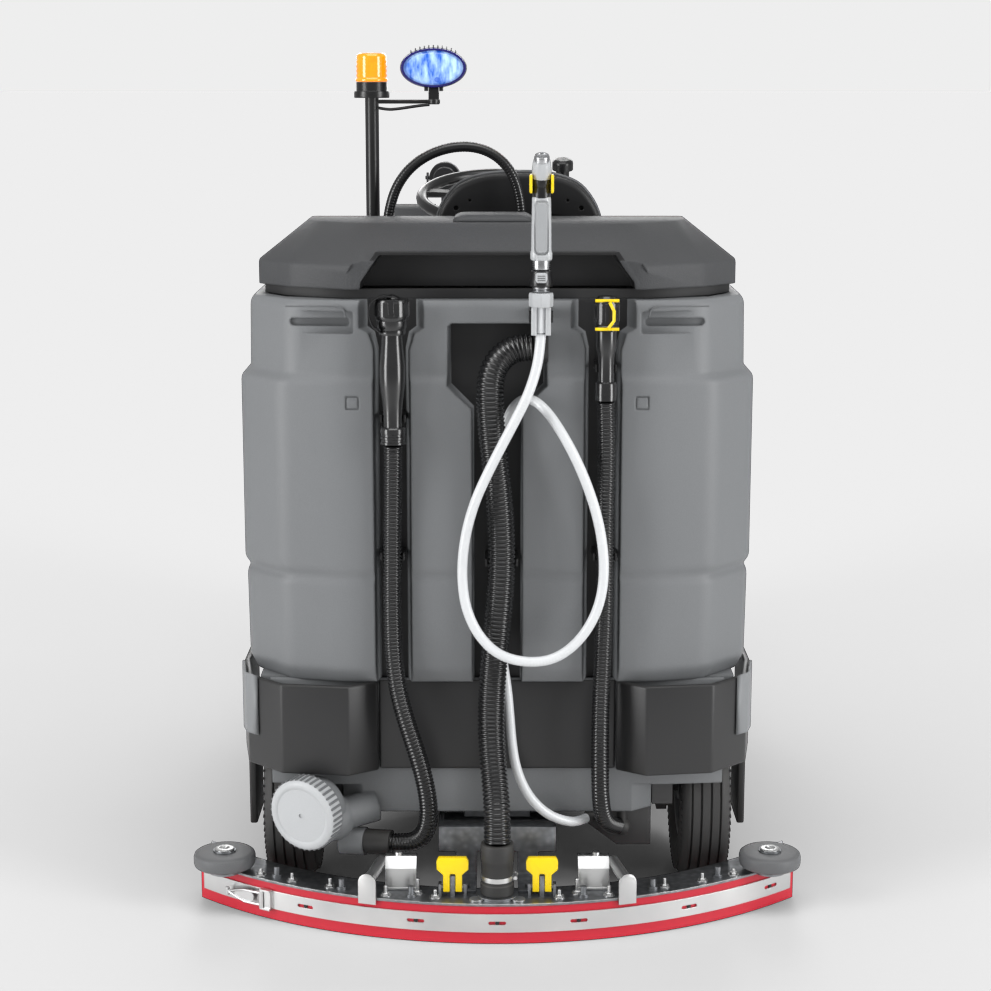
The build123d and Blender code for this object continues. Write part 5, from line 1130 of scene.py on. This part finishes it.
# %% Cushions
def stuffed(piece, cap, voxel=0.006):
    """Blows a closed form up as padded fabric, with the movement of each point limited."""
    remesh = piece.modifiers.new("Even mesh", "REMESH")
    remesh.mode = "VOXEL"
    remesh.voxel_size = voxel
    bake(piece)
    start = [v.co.copy() for v in piece.data.vertices]
    cloth = piece.modifiers.new("Padding", "CLOTH")
    cloth.settings.use_pressure = True
    cloth.settings.uniform_pressure_force = 4.0
    cloth.settings.effector_weights.gravity = 0.0
    cloth.point_cache.frame_start = 1
    cloth.point_cache.frame_end = 20
    for step in range(1, 21):
        bpy.context.scene.frame_set(step)
    bake(piece)
    for vertex, before in zip(piece.data.vertices, start):
        move = vertex.co - before
        if move.length > cap:
            vertex.co = before + move.normalized() * cap
    finer = piece.modifiers.new("Finer", "SUBSURF")
    finer.levels = 1
    finer.render_levels = 1
    return bake(piece)


cushion_half = [(168, 96), (170, 300), (156, 404), (128, 462), (88, 492), (40, 500)]
rings = [[seat_point(x, up, out) for x, up in back_outline(cushion_half, inset)]
         for out, inset in ((-84, 26), (-76, 8), (-62, 0), (-44, 0), (-33, 2))]
back_pad = stuffed(loft("Back_cushion", rings), 0.012)
back_pad.data.materials.append(seat_finish)
seams = []
for side in (-1, 1):
    line = [seat_point(side * x, up, -91 + (abs(up - 300) / 200) ** 2 * 7) for x, up in
            ((96, 130), (94, 220), (90, 310), (82, 400), (70, 452))]
    seams.append(bar("Seam", line, 0.0022, 8))
for seam in seams:
    seam.data.materials.append(shell_black)
fit_out(smooth(back_pad, math.radians(80)), None, "seat", "seat_vinyl", "seat_back_cushion")
back_seams = smooth(join("Back_cushion_seams", seams))
fit_out(back_seams, None, "seat", "seat_vinyl")

rings = [[mm(44 + x, -72 + y, z) for x, y in rounded(392 - inset, 298 - inset, 48 - inset / 4)]
         for z, inset in ((906.5, 6), (912, 0), (950, 0), (966, 12), (972, 34))]
seat_pad = stuffed(loft("Seat_cushion_padded", rings), 0.012)
fit_out(smooth(seat_pad, math.radians(80)), seat_finish, "seat", "seat_vinyl", "seat_cushion")
print("cushion faces", len(back_pad.data.polygons), len(seat_pad.data.polygons))

# %% [markdown]
# ## Spray gun
# The gun hangs from its hose at the back of the lid. Its body is a rounded grip with a long trigger
# let into it, a dark neck, a barrel that points up and back, and a pair of yellow guards.

# %% Spray gun
GUN = (80, -829)
silver = plastic("Silver plastic", colour(172, 174, 176), 0.30, 900, 0.06, dust=0.0, edge=0.0015, coat=0.2)
dark_gloss = finish["black_plastic"]


def upright(name, profile, material, segments=40):
    """A turned piece on the gun's own axis, from (radius, height) in millimetres."""
    piece = turned(name, [(r / 1000, z / 1000) for r, z in profile], mm(*GUN, 0), (0, 0, 1), segments)
    piece.data.materials.append(material)
    return piece


grip = loft("Gun_grip", [[mm(GUN[0] + x, GUN[1] + y, z) for x, y in rounded(w, d, r)] for z, w, d, r in (
    (1284, 37, 32, 12), (1287, 40, 35, 13), (1296, 40, 36, 13), (1302, 37, 34, 13), (1345, 36, 33, 13),
    (1372, 35, 32, 13),
    (1396, 34, 31, 13), (1398, 32, 29, 12))])
grip.data.materials.append(silver)
recess = loft("Trigger_recess", [[mm(GUN[0] + x, y, 1343 + z) for x,
                                  z in rounded(26, 98, 8)] for y in (-842, -870)])
cut(grip, recess)
liner = loft("Trigger_liner", [[mm(GUN[0] + x, y, 1343 + z) for x,
                                z in rounded(26, 98, 8)] for y in (-838, -841.6)])
liner.data.materials.append(dark_gloss)
gun_parts = [grip, liner]
gun_parts.append(upright("Neck", [(0, 1396), (16.5, 1396.5), (16.5, 1414), (15.5, 1416), (18, 1424),
                                  (18, 1432), (0, 1433)],
                         dark_gloss))
gun_parts.append(upright("Chrome_ring", [(0, 1266.5), (16, 1267), (16.6, 1269), (16.6, 1282), (16, 1284),
                                         (0, 1284.5)],
                         finish["gun_steel"]))
gun_parts.append(upright("Connector", [(0, 1236), (20.5, 1236.5), (21, 1238), (21, 1248), (19.5, 1252),
                                       (19, 1264), (16, 1266),
                                       (0, 1266.5)], dark_gloss))
gun_parts.append(upright("Chrome_neck", [(0, 1225), (15, 1225.5), (16, 1228), (14, 1230), (16, 1233),
                                         (15, 1236), (0, 1236.5)],
                         finish["gun_steel"]))
gun_parts.append(upright("Hex", [(0, 1198), (21, 1198.5), (22.5, 1201), (22.5, 1221), (21, 1224.5),
                                 (0, 1225)],
                         silver, 8))
tab = loft("Connector_tab", [[mm(GUN[0] + x * s, y, 1253 + z * s) for x, z in rounded(22, 19, 5)]
                             for y, s in ((-846, 1.0), (-850.5, 0.95), (-851.5, 0.85))])
tab.data.materials.append(silver)
gun_parts.append(tab)
for step in range(3):
    groove = box_between("Tab_groove", mm(GUN[0] - 7, -852.2, 1248 + 4 * step),
                         mm(GUN[0] + 7, -851, 1249 + 4 * step))
    groove.data.materials.append(dark_gloss)
    gun_parts.append(groove)
for side in (-1, 1):
    cheek = loft("Sleeve_cheek", [[mm(GUN[0] + side * 13 + x, GUN[1] + y, z) for x, y in rounded(10, 24, 3)]
                                  for z in (1147, 1198)])
    cheek.data.materials.append(silver)
    gun_parts.append(cheek)
    ear = loft("Guard", [[mm(GUN[0] + side * offset, -834 + y, 1422 + z) for y,
                          z in rounded(30 - trim, 34 - trim, 7)]
                         for offset, trim in ((17, 0), (20.5, 0), (22, 4))])
    ear.data.materials.append(finish["lever_yellow"])
    gun_parts.append(ear)
backing = loft("Sleeve_back", [[mm(GUN[0] + x * s, GUN[1] + 8 + y, z) for x,
                                y in rounded(40, 12, 4)] for z, s in ((1146, 0.85), (1198, 1))])
backing.data.materials.append(dark_gloss)
gun_parts.append(backing)
gun_parts.append(upright("Hose_stub", [(0, 1150), (8.5, 1150.5), (8.5, 1197), (0, 1197.5)],
                         finish["hose_clear"]))
barrel_axis = Vector((0, -0.42, 0.907)).normalized()
barrel_start = mm(GUN[0], -826, 1425)
barrel = turned("Barrel", [(0, 0), (0.0165, 0.001), (0.0178, 0.006), (0.0172, 0.026), (0.0160, 0.038),
                           (0.0150, 0.041),
                           (0.0150, 0.043), (0.0, 0.0435)], barrel_start, barrel_axis, 48)
barrel.data.materials.append(silver)
nozzle = turned("Nozzle", [(0.0135, 0.040), (0.0135, 0.050), (0.0122, 0.053), (0.0092, 0.0535),
                           (0.0085, 0.051), (0.0040, 0.0505),
                           (0.0035, 0.053), (0.0, 0.053)], barrel_start, barrel_axis, 40)
nozzle.data.materials.append(finish["gun_steel"])
gun = smooth(join("Spray_gun_body", [*gun_parts, barrel, nozzle]))
fit_out(gun, None, "root", "gun_steel", "spray_gun")
trigger = loft("Gun_trigger_lever", [[mm(GUN[0] + x * s, y - z * 0.045, 1343 + z * s) for x,
                                      z in rounded(21, 91, 7)]
                                     for y, s in ((-844, 1.0), (-848, 1.0), (-850, 0.96), (-850.6, 0.88))])
fit_out(smooth(trigger), plastic("Trigger grey", colour(150, 152, 154), 0.34, 900, 0.08, dust=0.0,
                                 edge=0.0015),
        "gun_trigger", "black_plastic", "gun_trigger")
print("gun faces", len(gun.data.polygons))

# %% [markdown]
# ## Hose grips
# The two short hoses end in grips: a threaded collar, a bulged tube and a screw cap. The left cap
# hangs on a strap and the right one sits in a yellow frame.

# %% Hose grips
def at_grip(x, profile, material, name="Grip", segments=48):
    piece = turned(name, [(r / 1000, z / 1000) for r, z in profile], mm(x, -795, 0), (0, 0, 1), segments)
    piece.data.materials.append(material)
    return piece


grip_gloss = plastic("Grip gloss", colour(26, 26, 27), 0.20, 900, 0.05, dust=0.0, edge=0.001, coat=0.4)
left_collar = [(19, 938.5), (24, 939), (24, 943), (22.6, 944), (22.6, 948), (24, 949), (24, 953),
               (22.6, 954), (22.6, 958),
               (24, 959), (24, 968), (22, 970.5), (18, 971)]
left_tube = [(17.5, 970), (18, 1000), (19.5, 1020), (23, 1045), (24, 1065), (23.8, 1085), (22, 1105),
             (19.5, 1130), (19, 1144)]
left_neck = [(19, 1143), (24, 1144), (25, 1148), (24.5, 1153), (27, 1156), (28, 1162), (28.5, 1170),
             (31, 1173), (31.5, 1177)]
left_cap = [(31, 1177), (32, 1178), (32, 1206), (30, 1210), (16, 1211), (14, 1213), (6, 1217), (0, 1218)]
grips = [at_grip(-195, left_collar, grip_gloss), at_grip(-195, left_tube, grip_gloss),
         at_grip(-195, left_neck, grip_gloss),
         at_grip(-195, left_cap, grip_gloss)]
grips.append(ring_of_blocks("Cap_teeth", 10, 0.0315, (0.0035, 0.010, 0.026), grip_gloss,
                            mm(-195, -795, 1192), (0, 0, 1)))
strap_line = eased([mm(-195, -812, 1215), mm(-212, -814, 1219), mm(-234, -812, 1205), mm(-238, -812, 1182),
                    mm(-230, -814, 1160), mm(-214, -818, 1149)], 0.014, 4)
strap_rings = []
for i, point in enumerate(strap_line):
    ahead = strap_line[min(i + 1, len(strap_line) - 1)] - strap_line[max(i - 1, 0)]
    across = Vector((-ahead.z, 0, ahead.x)).normalized() * 0.0012
    deep = Vector((0, 0.009, 0))
    strap_rings.append([point - across - deep, point + across - deep, point + across + deep,
                        point - across + deep])
strap_piece = loft("Cap_strap", strap_rings)
strap_piece.data.materials.append(grip_gloss)
grips.append(strap_piece)
right_collar = [(16, 1020.5), (20, 1021), (20, 1052), (18, 1055), (15, 1056)]
right_tube = [(15, 1055), (15, 1100), (17, 1112), (19, 1119), (19, 1150)]
right_cap = [(19, 1150), (23, 1152), (23, 1160), (21.5, 1162), (23, 1164), (23, 1204), (21, 1208),
             (16, 1215), (0, 1216)]
grips += [at_grip(202, right_collar, grip_gloss), at_grip(202, right_tube, grip_gloss),
          at_grip(202, right_cap, grip_gloss)]
grips.append(ring_of_blocks("Cap_teeth", 12, 0.0225, (0.0030, 0.006, 0.034), grip_gloss,
                            mm(202, -795, 1185), (0, 0, 1)))
yellow = finish["lever_yellow"]
frame_bars = [[mm(180, -814, 1208), mm(224, -814, 1208)], [mm(180, -818, 1156), mm(224, -818, 1156)],
              [mm(206, -822, 1206), mm(214, -824, 1190), mm(214, -824, 1172), mm(204, -822, 1158)]]
for line in frame_bars:
    piece = bar("Cap_frame", line, 0.0030, 10)
    piece.data.materials.append(yellow)
    grips.append(piece)
grips = smooth(join("Hose_grips_moulded", grips))
fit_out(grips, None, "root", "black_plastic", "hose_grips")
print("grip faces", len(grips.data.polygons))

# %% [markdown]
# ## Lights
# The blue light is an oval housing with fins on its back and a lens with bright streaks where its
# lamps are. The lens stays an ordinary glossy surface that also shines. The beacon is a ribbed cap.

# %% Blue light
blue_glass = bpy.data.materials.new("Blue lamp glass")
blue_glass.use_nodes = True
b = Nodes(blue_glass.node_tree)
shader = blue_glass.node_tree.nodes["Principled BSDF"]
place = b.add("ShaderNodeTexCoord").outputs["Object"]
streaks = b.add("ShaderNodeTexNoise", Vector=b.add("ShaderNodeMapping", Vector=place,
                                                   Scale=(60, 40, 18)).outputs[0],
                Scale=1.0, Detail=4.0, Roughness=0.6)
lamps = b.add("ShaderNodeTexVoronoi", Vector=b.add("ShaderNodeMapping", Vector=place,
                                                   Scale=(30, 1, 34)).outputs[0], Scale=1.0)
glow = b.maths("MULTIPLY", b.maths("SUBTRACT", streaks.outputs[0], 0.36), 3.2)
tint = b.mix(glow, colour(10, 78, 176), colour(176, 208, 242))
tint = b.mix(b.maths("MULTIPLY", b.maths("LESS_THAN", lamps.outputs[0], 0.18), 0.7), tint,
             colour(16, 70, 170))
blue_glass.node_tree.links.new(tint, shader.inputs["Base Color"])
blue_glass.node_tree.links.new(tint, shader.inputs["Emission Color"])
shader.inputs["Emission Strength"].default_value = 0.55
shader.inputs["Roughness"].default_value = 0.12
shader.inputs["Coat Weight"].default_value = 0.5
lamp_black = plastic("Lamp housing", colour(26, 26, 28), 0.38, 900, 0.15, dust=0.0, edge=0.001)
lamp_blue = plastic("Lamp bezel", colour(22, 18, 92), 0.25, 900, 0.04, dust=0.0, edge=0.001)


def oval(half_x, half_z, y, count=64):
    angles = (2 * math.pi * i / count for i in range(count))
    return [mm(-128 + half_x * math.cos(a), y, 1629 + half_z * math.sin(a)) for a in angles]


lamp_parts = []
housing = loft("Housing", [oval(63, 37, -364), oval(67, 40, -360), oval(67, 40, -346), oval(60, 35, -332),
                           oval(46, 26, -312),
                           oval(40, 22, -311)])
cut(housing, loft("Lens_bed", [oval(60.5, 34.5, -372), oval(60.5, 34.5, -358)]))
cut(housing, box_between("Arm_slot", mm(-139, -386, 1580), mm(-117, -305, 1606)))
housing.data.materials.append(lamp_black)
bezel = loft("Bezel", [oval(66, 39.2, -362), oval(65, 38.4, -367.5), oval(61, 34.8, -369)])
cut(bezel, loft("Bezel_bore", [oval(60, 34, -372), oval(60, 34, -355)]))
bezel.data.materials.append(lamp_blue)
lens = loft("Lens", [oval(60.2, 34.2, -359), oval(60.2, 34.2, -362), oval(54, 30, -365.5),
                     oval(36, 20, -367.5), oval(8, 4, -368.2)])
lens.data.materials.append(blue_glass)
lamp_parts += [housing, bezel, lens]
for step in range(-5, 6):
    x = -128 + 9 * step
    z = 1629 + 40 * math.sqrt(1 - (9 * step / 67) ** 2)
    fin = loft("Fin", [[mm(x + dx * s, y, z + dz) for dx, dz,
                        s in ((-1.6, -7, 1), (1.6, -7, 1), (1.6, 5, 0.5), (-1.6, 5, 0.5))]
                       for y in (-360, -322)])
    fin.data.materials.append(lamp_black)
    lamp_parts.append(fin)
for side in (-1, 1):
    lug = box_between("Lug", mm(-128 + side * 15 - 3.8, -354, 1583), mm(-128 + side * 15 + 3.8, -336, 1604))
    cut(lug, bar("Lug_bore", [mm(-128 + side * 8, -345, 1594), mm(-128 + side * 24, -345, 1594)], 0.00405,
                 20))
    lug.data.materials.append(lamp_black)
    lamp_parts.append(lug)
lamp = smooth(join("Blue_light_lamp", lamp_parts))
fit_out(lamp, None, "blue_light", "blue_lens", "blue_light")

# %% Beacon and work light
amber = turned("Beacon_cap", [(0.0, 0.0), (0.031, 0.0), (0.0322, 0.002), (0.0322, 0.005), (0.0295, 0.008),
                              (0.031, 0.0125),
                              (0.0295, 0.017), (0.031, 0.0215), (0.0295, 0.026), (0.031, 0.0305),
                              (0.0295, 0.035), (0.0308, 0.0395),
                              (0.0295, 0.044), (0.0302, 0.049), (0.0285, 0.054), (0.024, 0.0565),
                              (0.0, 0.057)],
               mm(-253, -345, 1601.3), (0, 0, 1), 64)
fit_out(smooth(amber, math.radians(60)), finish["amber_lens"], "root", "amber_lens", "beacon_lens")
post = soften(node_copy("beacon_post", "Beacon_post_soft"), 0.001, 2)
fit_out(smooth(post), finish["black_plastic"], "root", "black_plastic", "beacon_post")
head = [turned("Lamp_barrel", [(0.0, -0.034), (0.026, -0.034), (0.028, -0.030), (0.028, 0.020),
                               (0.036, 0.024), (0.038, 0.026),
                               (0.038, 0.046), (0.036, 0.048), (0.033, 0.046), (0.0, 0.046)],
                               mm(-128, 576, 1366), (0, 1, 0), 48)]
for step in range(6):
    head.append(turned("Lamp_fin", [(0.0, 0.0), (0.037, 0.0), (0.038, 0.001), (0.037, 0.0022),
                                    (0.0, 0.0022)],
                       mm(-128, 568 + 8 * step, 1366), (0, 1, 0), 40))
head.append(bar("Lamp_pin", [mm(-176, 600, 1366), mm(-80, 600, 1366)], 0.004))
head = smooth(join("Work_light_head", head))
fit_out(head, lamp_black, "work_light", "black_plastic", "work_light")

# %% [markdown]
# ## Driver's place
# The steering wheel has a fat padded rim with finger waves under it. The other covers here are
# moulded shapes whose edges are rounded.

# %% Steering wheel and knob
TILT = math.radians(15)
wheel_up = Vector((0, -math.sin(TILT), math.cos(TILT)))
wheel_out = Vector((0, math.cos(TILT), math.sin(TILT)))
wheel_at = mm(0, 300, 1335)


def wheel_point(angle, radius, up):
    across = Vector((1, 0, 0)) * (radius * math.cos(angle))
    return wheel_at + across + wheel_out * (radius * math.sin(angle)) + wheel_up * up


rings = []
for k in range(144):
    a = 2 * math.pi * k / 144
    wave = 0.0006 * math.cos(36 * a)
    rings.append([wheel_point(a, 0.175 + (0.013 + wave * (math.sin(t) < 0)) * math.cos(t),
                              (0.013 + wave * (math.sin(t) < 0)) * math.sin(t))
                  for t in (2 * math.pi * j / 16 for j in range(16))])
wheel_rim = loft("Wheel_rim", [*rings, rings[0]], caps=False)
hub = turned("Wheel_hub", [(0, -0.012), (0.036, -0.012), (0.038, -0.009), (0.038, 0.006), (0.034, 0.011),
                           (0.0, 0.013)],
             wheel_at, wheel_up, 40)
stem = turned("Wheel_stem", [(0, -0.160), (0.012, -0.160), (0.012, -0.010), (0, -0.010)], wheel_at,
              wheel_up, 24)
wheel_parts = [wheel_rim, hub, stem]
for degrees_round in (12, 168, 270):
    a = math.radians(degrees_round)
    rings = []
    for radius, width, lift in ((0.030, 0.019, 0.0), (0.060, 0.015, 0.0), (0.110, 0.012, 0.001),
                                (0.150, 0.015, 0.001), (0.168, 0.020, 0.0)):
        swing = width / radius
        rings.append([wheel_point(a - swing, radius, lift - 0.004),
                      wheel_point(a + swing, radius, lift - 0.004),
                      wheel_point(a + swing * 0.8, radius, lift + 0.005),
                      wheel_point(a - swing * 0.8, radius, lift + 0.005)])
    wheel_parts.append(loft("Spoke", rings))
knob_at = wheel_point(math.radians(27.6), 0.175, 0)
wheel_parts.append(turned("Knob_stem", [(0.005, 0.008), (0.005, 0.062), (0, 0.0622)], knob_at, wheel_up,
                          20))
wheel = smooth(join("Steering_wheel_rim", wheel_parts))
fit_out(wheel, finish["black_plastic"], "steering_wheel", "black_plastic", "steering_wheel")

# %% Softened covers of the body
for node, name, width, body in (
        ("seat_console", "Seat_console_cover", 0.005, "root"),
        ("front_cowl", "Front_cowl_cover", 0.005, "root"),
        ("dashboard", "Dashboard_cover", 0.004, "root"),
        ("fresh_tank", "Fresh_tank_cover", 0.004, "root"),
        ("deck_housing", "Deck_housing_cover", 0.002, "brush_deck"),
        ("hold_down_brackets", "Hold_down_soft", 0.001, "squeegee"),
        ("squeegee_arm", "Squeegee_arm_soft", 0.0015, "squeegee")):
    own_slot = next(row["material_slot"] for row in frame["record"]["subparts"] if row["node"] == node)
    cover = soften(node_copy(node, name), width, 2, 35)
    fit_out(smooth(cover), finish[own_slot], body, own_slot, node)
    print(name, len(cover.data.polygons))

# %% [markdown]
# ## Brushes
# Each brush is a plate full of stiff bristles. Geometry Nodes set them: points are spread over a
# ring, and a thin tapering cone stands on each.

# %% Bristle tree
bristly = bpy.data.node_groups.new("Bristles", "GeometryNodeTree")
bristly.interface.new_socket("Geometry", in_out="INPUT", socket_type="NodeSocketGeometry")
for label, kind, value in (("Spread", FLOAT, 3000.0), ("Length", FLOAT, 0.05), ("Thickness", FLOAT, 0.002),
                           ("Finish", "NodeSocketMaterial", None)):
    socket = bristly.interface.new_socket(label, in_out="INPUT", socket_type=kind)
    if value is not None:
        socket.default_value = value
bristly.interface.new_socket("Geometry", in_out="OUTPUT", socket_type="NodeSocketGeometry")
g = Nodes(bristly)
entry = bristly.nodes.new("NodeGroupInput")
spots = g.add("GeometryNodeDistributePointsOnFaces", Mesh=entry.outputs["Geometry"],
              Density=entry.outputs["Spread"], Seed=4)
tuft = g.add("GeometryNodeMeshCone", Vertices=5, Depth=entry.outputs["Length"])
bristly.links.new(entry.outputs["Thickness"], tuft.inputs["Radius Bottom"])
bristly.links.new(g.maths("MULTIPLY", entry.outputs["Thickness"], 0.6), tuft.inputs["Radius Top"])
stand = g.add("GeometryNodeInstanceOnPoints", Points=spots.outputs["Points"], Instance=tuft.outputs["Mesh"])
real = g.add("GeometryNodeRealizeInstances", Geometry=stand.outputs[0])
coated = g.add("GeometryNodeSetMaterial", Geometry=real.outputs[0], Material=entry.outputs["Finish"])
leave = bristly.nodes.new("NodeGroupOutput")
bristly.links.new(coated.outputs[0], leave.inputs["Geometry"])

# %% Brushes
for side, name in ((-1, "left"), (1, "right")):
    hub = mm(side * 225, 60, 0)
    rings = [[hub + Vector((r * math.cos(a), r * math.sin(a),
                            0.003)) for a in (2 * math.pi * i / 48 for i in range(48))]
             for r in (0.085, 0.212)]
    bed = bmesh.new()
    rows = [[bed.verts.new(p) for p in ring] for ring in rings]
    for i in range(48):
        j = (i + 1) % 48
        bed.faces.new((rows[0][i], rows[1][i], rows[1][j], rows[0][j]))
    mesh = bpy.data.meshes.new("Bristle_bed")
    bed.to_mesh(mesh)
    bed.free()
    bristles = run_tree("Bristles", mesh, bristly, Spread=26000.0, Length=0.058, Thickness=0.0019,
                        Finish=finish["brush_black"])
    disc = turned("Brush_plate", [(0.0126, 0.060), (0.214, 0.060), (0.216, 0.062), (0.216, 0.072),
                                  (0.210, 0.074), (0.080, 0.074),
                                  (0.070, 0.083), (0.0126, 0.083)], hub, (0, 0, 1), 64)
    bore = bar("Brush_bore", [hub + Vector((0, 0, 0.05)), hub + Vector((0, 0, 0.095))], 0.0126, 24)
    cut(disc, bore)
    disc.data.materials.append(finish["brush_black"])
    brush = smooth(join(f"Brush_{name}_bristles", [disc, bristles]))
    fit_out(brush, None, f"brush_{name}", "brush_black", f"brush_{name}")
print("bristle faces", len(brush.data.polygons))

# %% [markdown]
# ## Small things
# A bent bracket plate shows between the hoses and the right wheel, and the tank carries a thin
# stepped line below its rim.

# %% Bracket plate and tank line
bracket = prism("Bracket_plate", [(176, 197), (304, 197), (304, 113), (238, 113), (176, 160)], -694, -690)
fit_out(smooth(soften(bracket, 0.001, 2)), finish["frame_steel"], "root", "frame_steel")
for side in (-1, 1):
    line = [mm(side * x, -768.5, z) for x, z in ((282, 1172), (286, 1188), (300, 1193), (394, 1193))]
    step_line = bar("Rim_line", eased(line, 0.006, 3), 0.0016, 8)
    fit_out(smooth(step_line), finish["tank_grey"], "root", "tank_grey")
    step_line.name = f"Rim_line_{side}"
# %% [markdown]
# ## Studio
# A pale floor catches only the shadow, so that it has the background's own tone. Two tall soft lights
# stand left and right and draw long highlights down the hoses and the tank's side facets, and a wide
# one hangs overhead.

# %% Studio
BACKGROUND = colour(238, 238, 238)[:3]
world = bpy.data.worlds.new("Studio")
bpy.context.scene.world = world
world.use_nodes = True
w = Nodes(world.node_tree)
world.node_tree.nodes.clear()
seen = w.add("ShaderNodeBackground", Color=(*BACKGROUND, 1), Strength=1.0)
fill = w.add("ShaderNodeBackground", Color=(1, 1, 1, 1), Strength=0.42)
chooser = w.add("ShaderNodeMixShader", Fac=w.add("ShaderNodeLightPath").outputs["Is Camera Ray"])
world.node_tree.links.new(fill.outputs[0], chooser.inputs[1])
world.node_tree.links.new(seen.outputs[0], chooser.inputs[2])
world_out = w.add("ShaderNodeOutputWorld")
world.node_tree.links.new(chooser.outputs[0], world_out.inputs[0])

floor = plate("Floor", [(-200, -200), (200, -200), (200, 200), (-200, 200)], (0, 0, -0.02), (1, 0, 0),
              (0, 1, 0), 0.02)
floor.data.materials.append(plastic("Pale floor", colour(238, 238, 238), 0.6))
floor.is_shadow_catcher = True


def soft_light(name, place, target, width, height, energy):
    """An area light that looks at a target."""
    data = bpy.data.lights.new(name, "AREA")
    data.shape = "RECTANGLE"
    data.size = width
    data.size_y = height
    data.energy = energy
    light = bpy.data.objects.new(name, data)
    light.location = place
    light.rotation_euler = (Vector(target) - Vector(place)).to_track_quat("-Z", "Y").to_euler()
    bpy.context.scene.collection.objects.link(light)
    return light


soft_light("Left_light", (-3.6, -2.6, 1.6), (0, -0.5, 0.8), 1.4, 3.2, 130)
soft_light("Right_light", (3.6, -2.6, 1.6), (0, -0.5, 0.8), 1.4, 3.2, 130)
soft_light("Top_light", (0, -1.6, 4.4), (0, -0.4, 0.6), 3.4, 2.4, 90)
soft_light("Far_light", (0, 4.5, 2.6), (0, 0.2, 0.9), 3.0, 2.0, 90)
bpy.context.scene.view_settings.view_transform = "Standard"
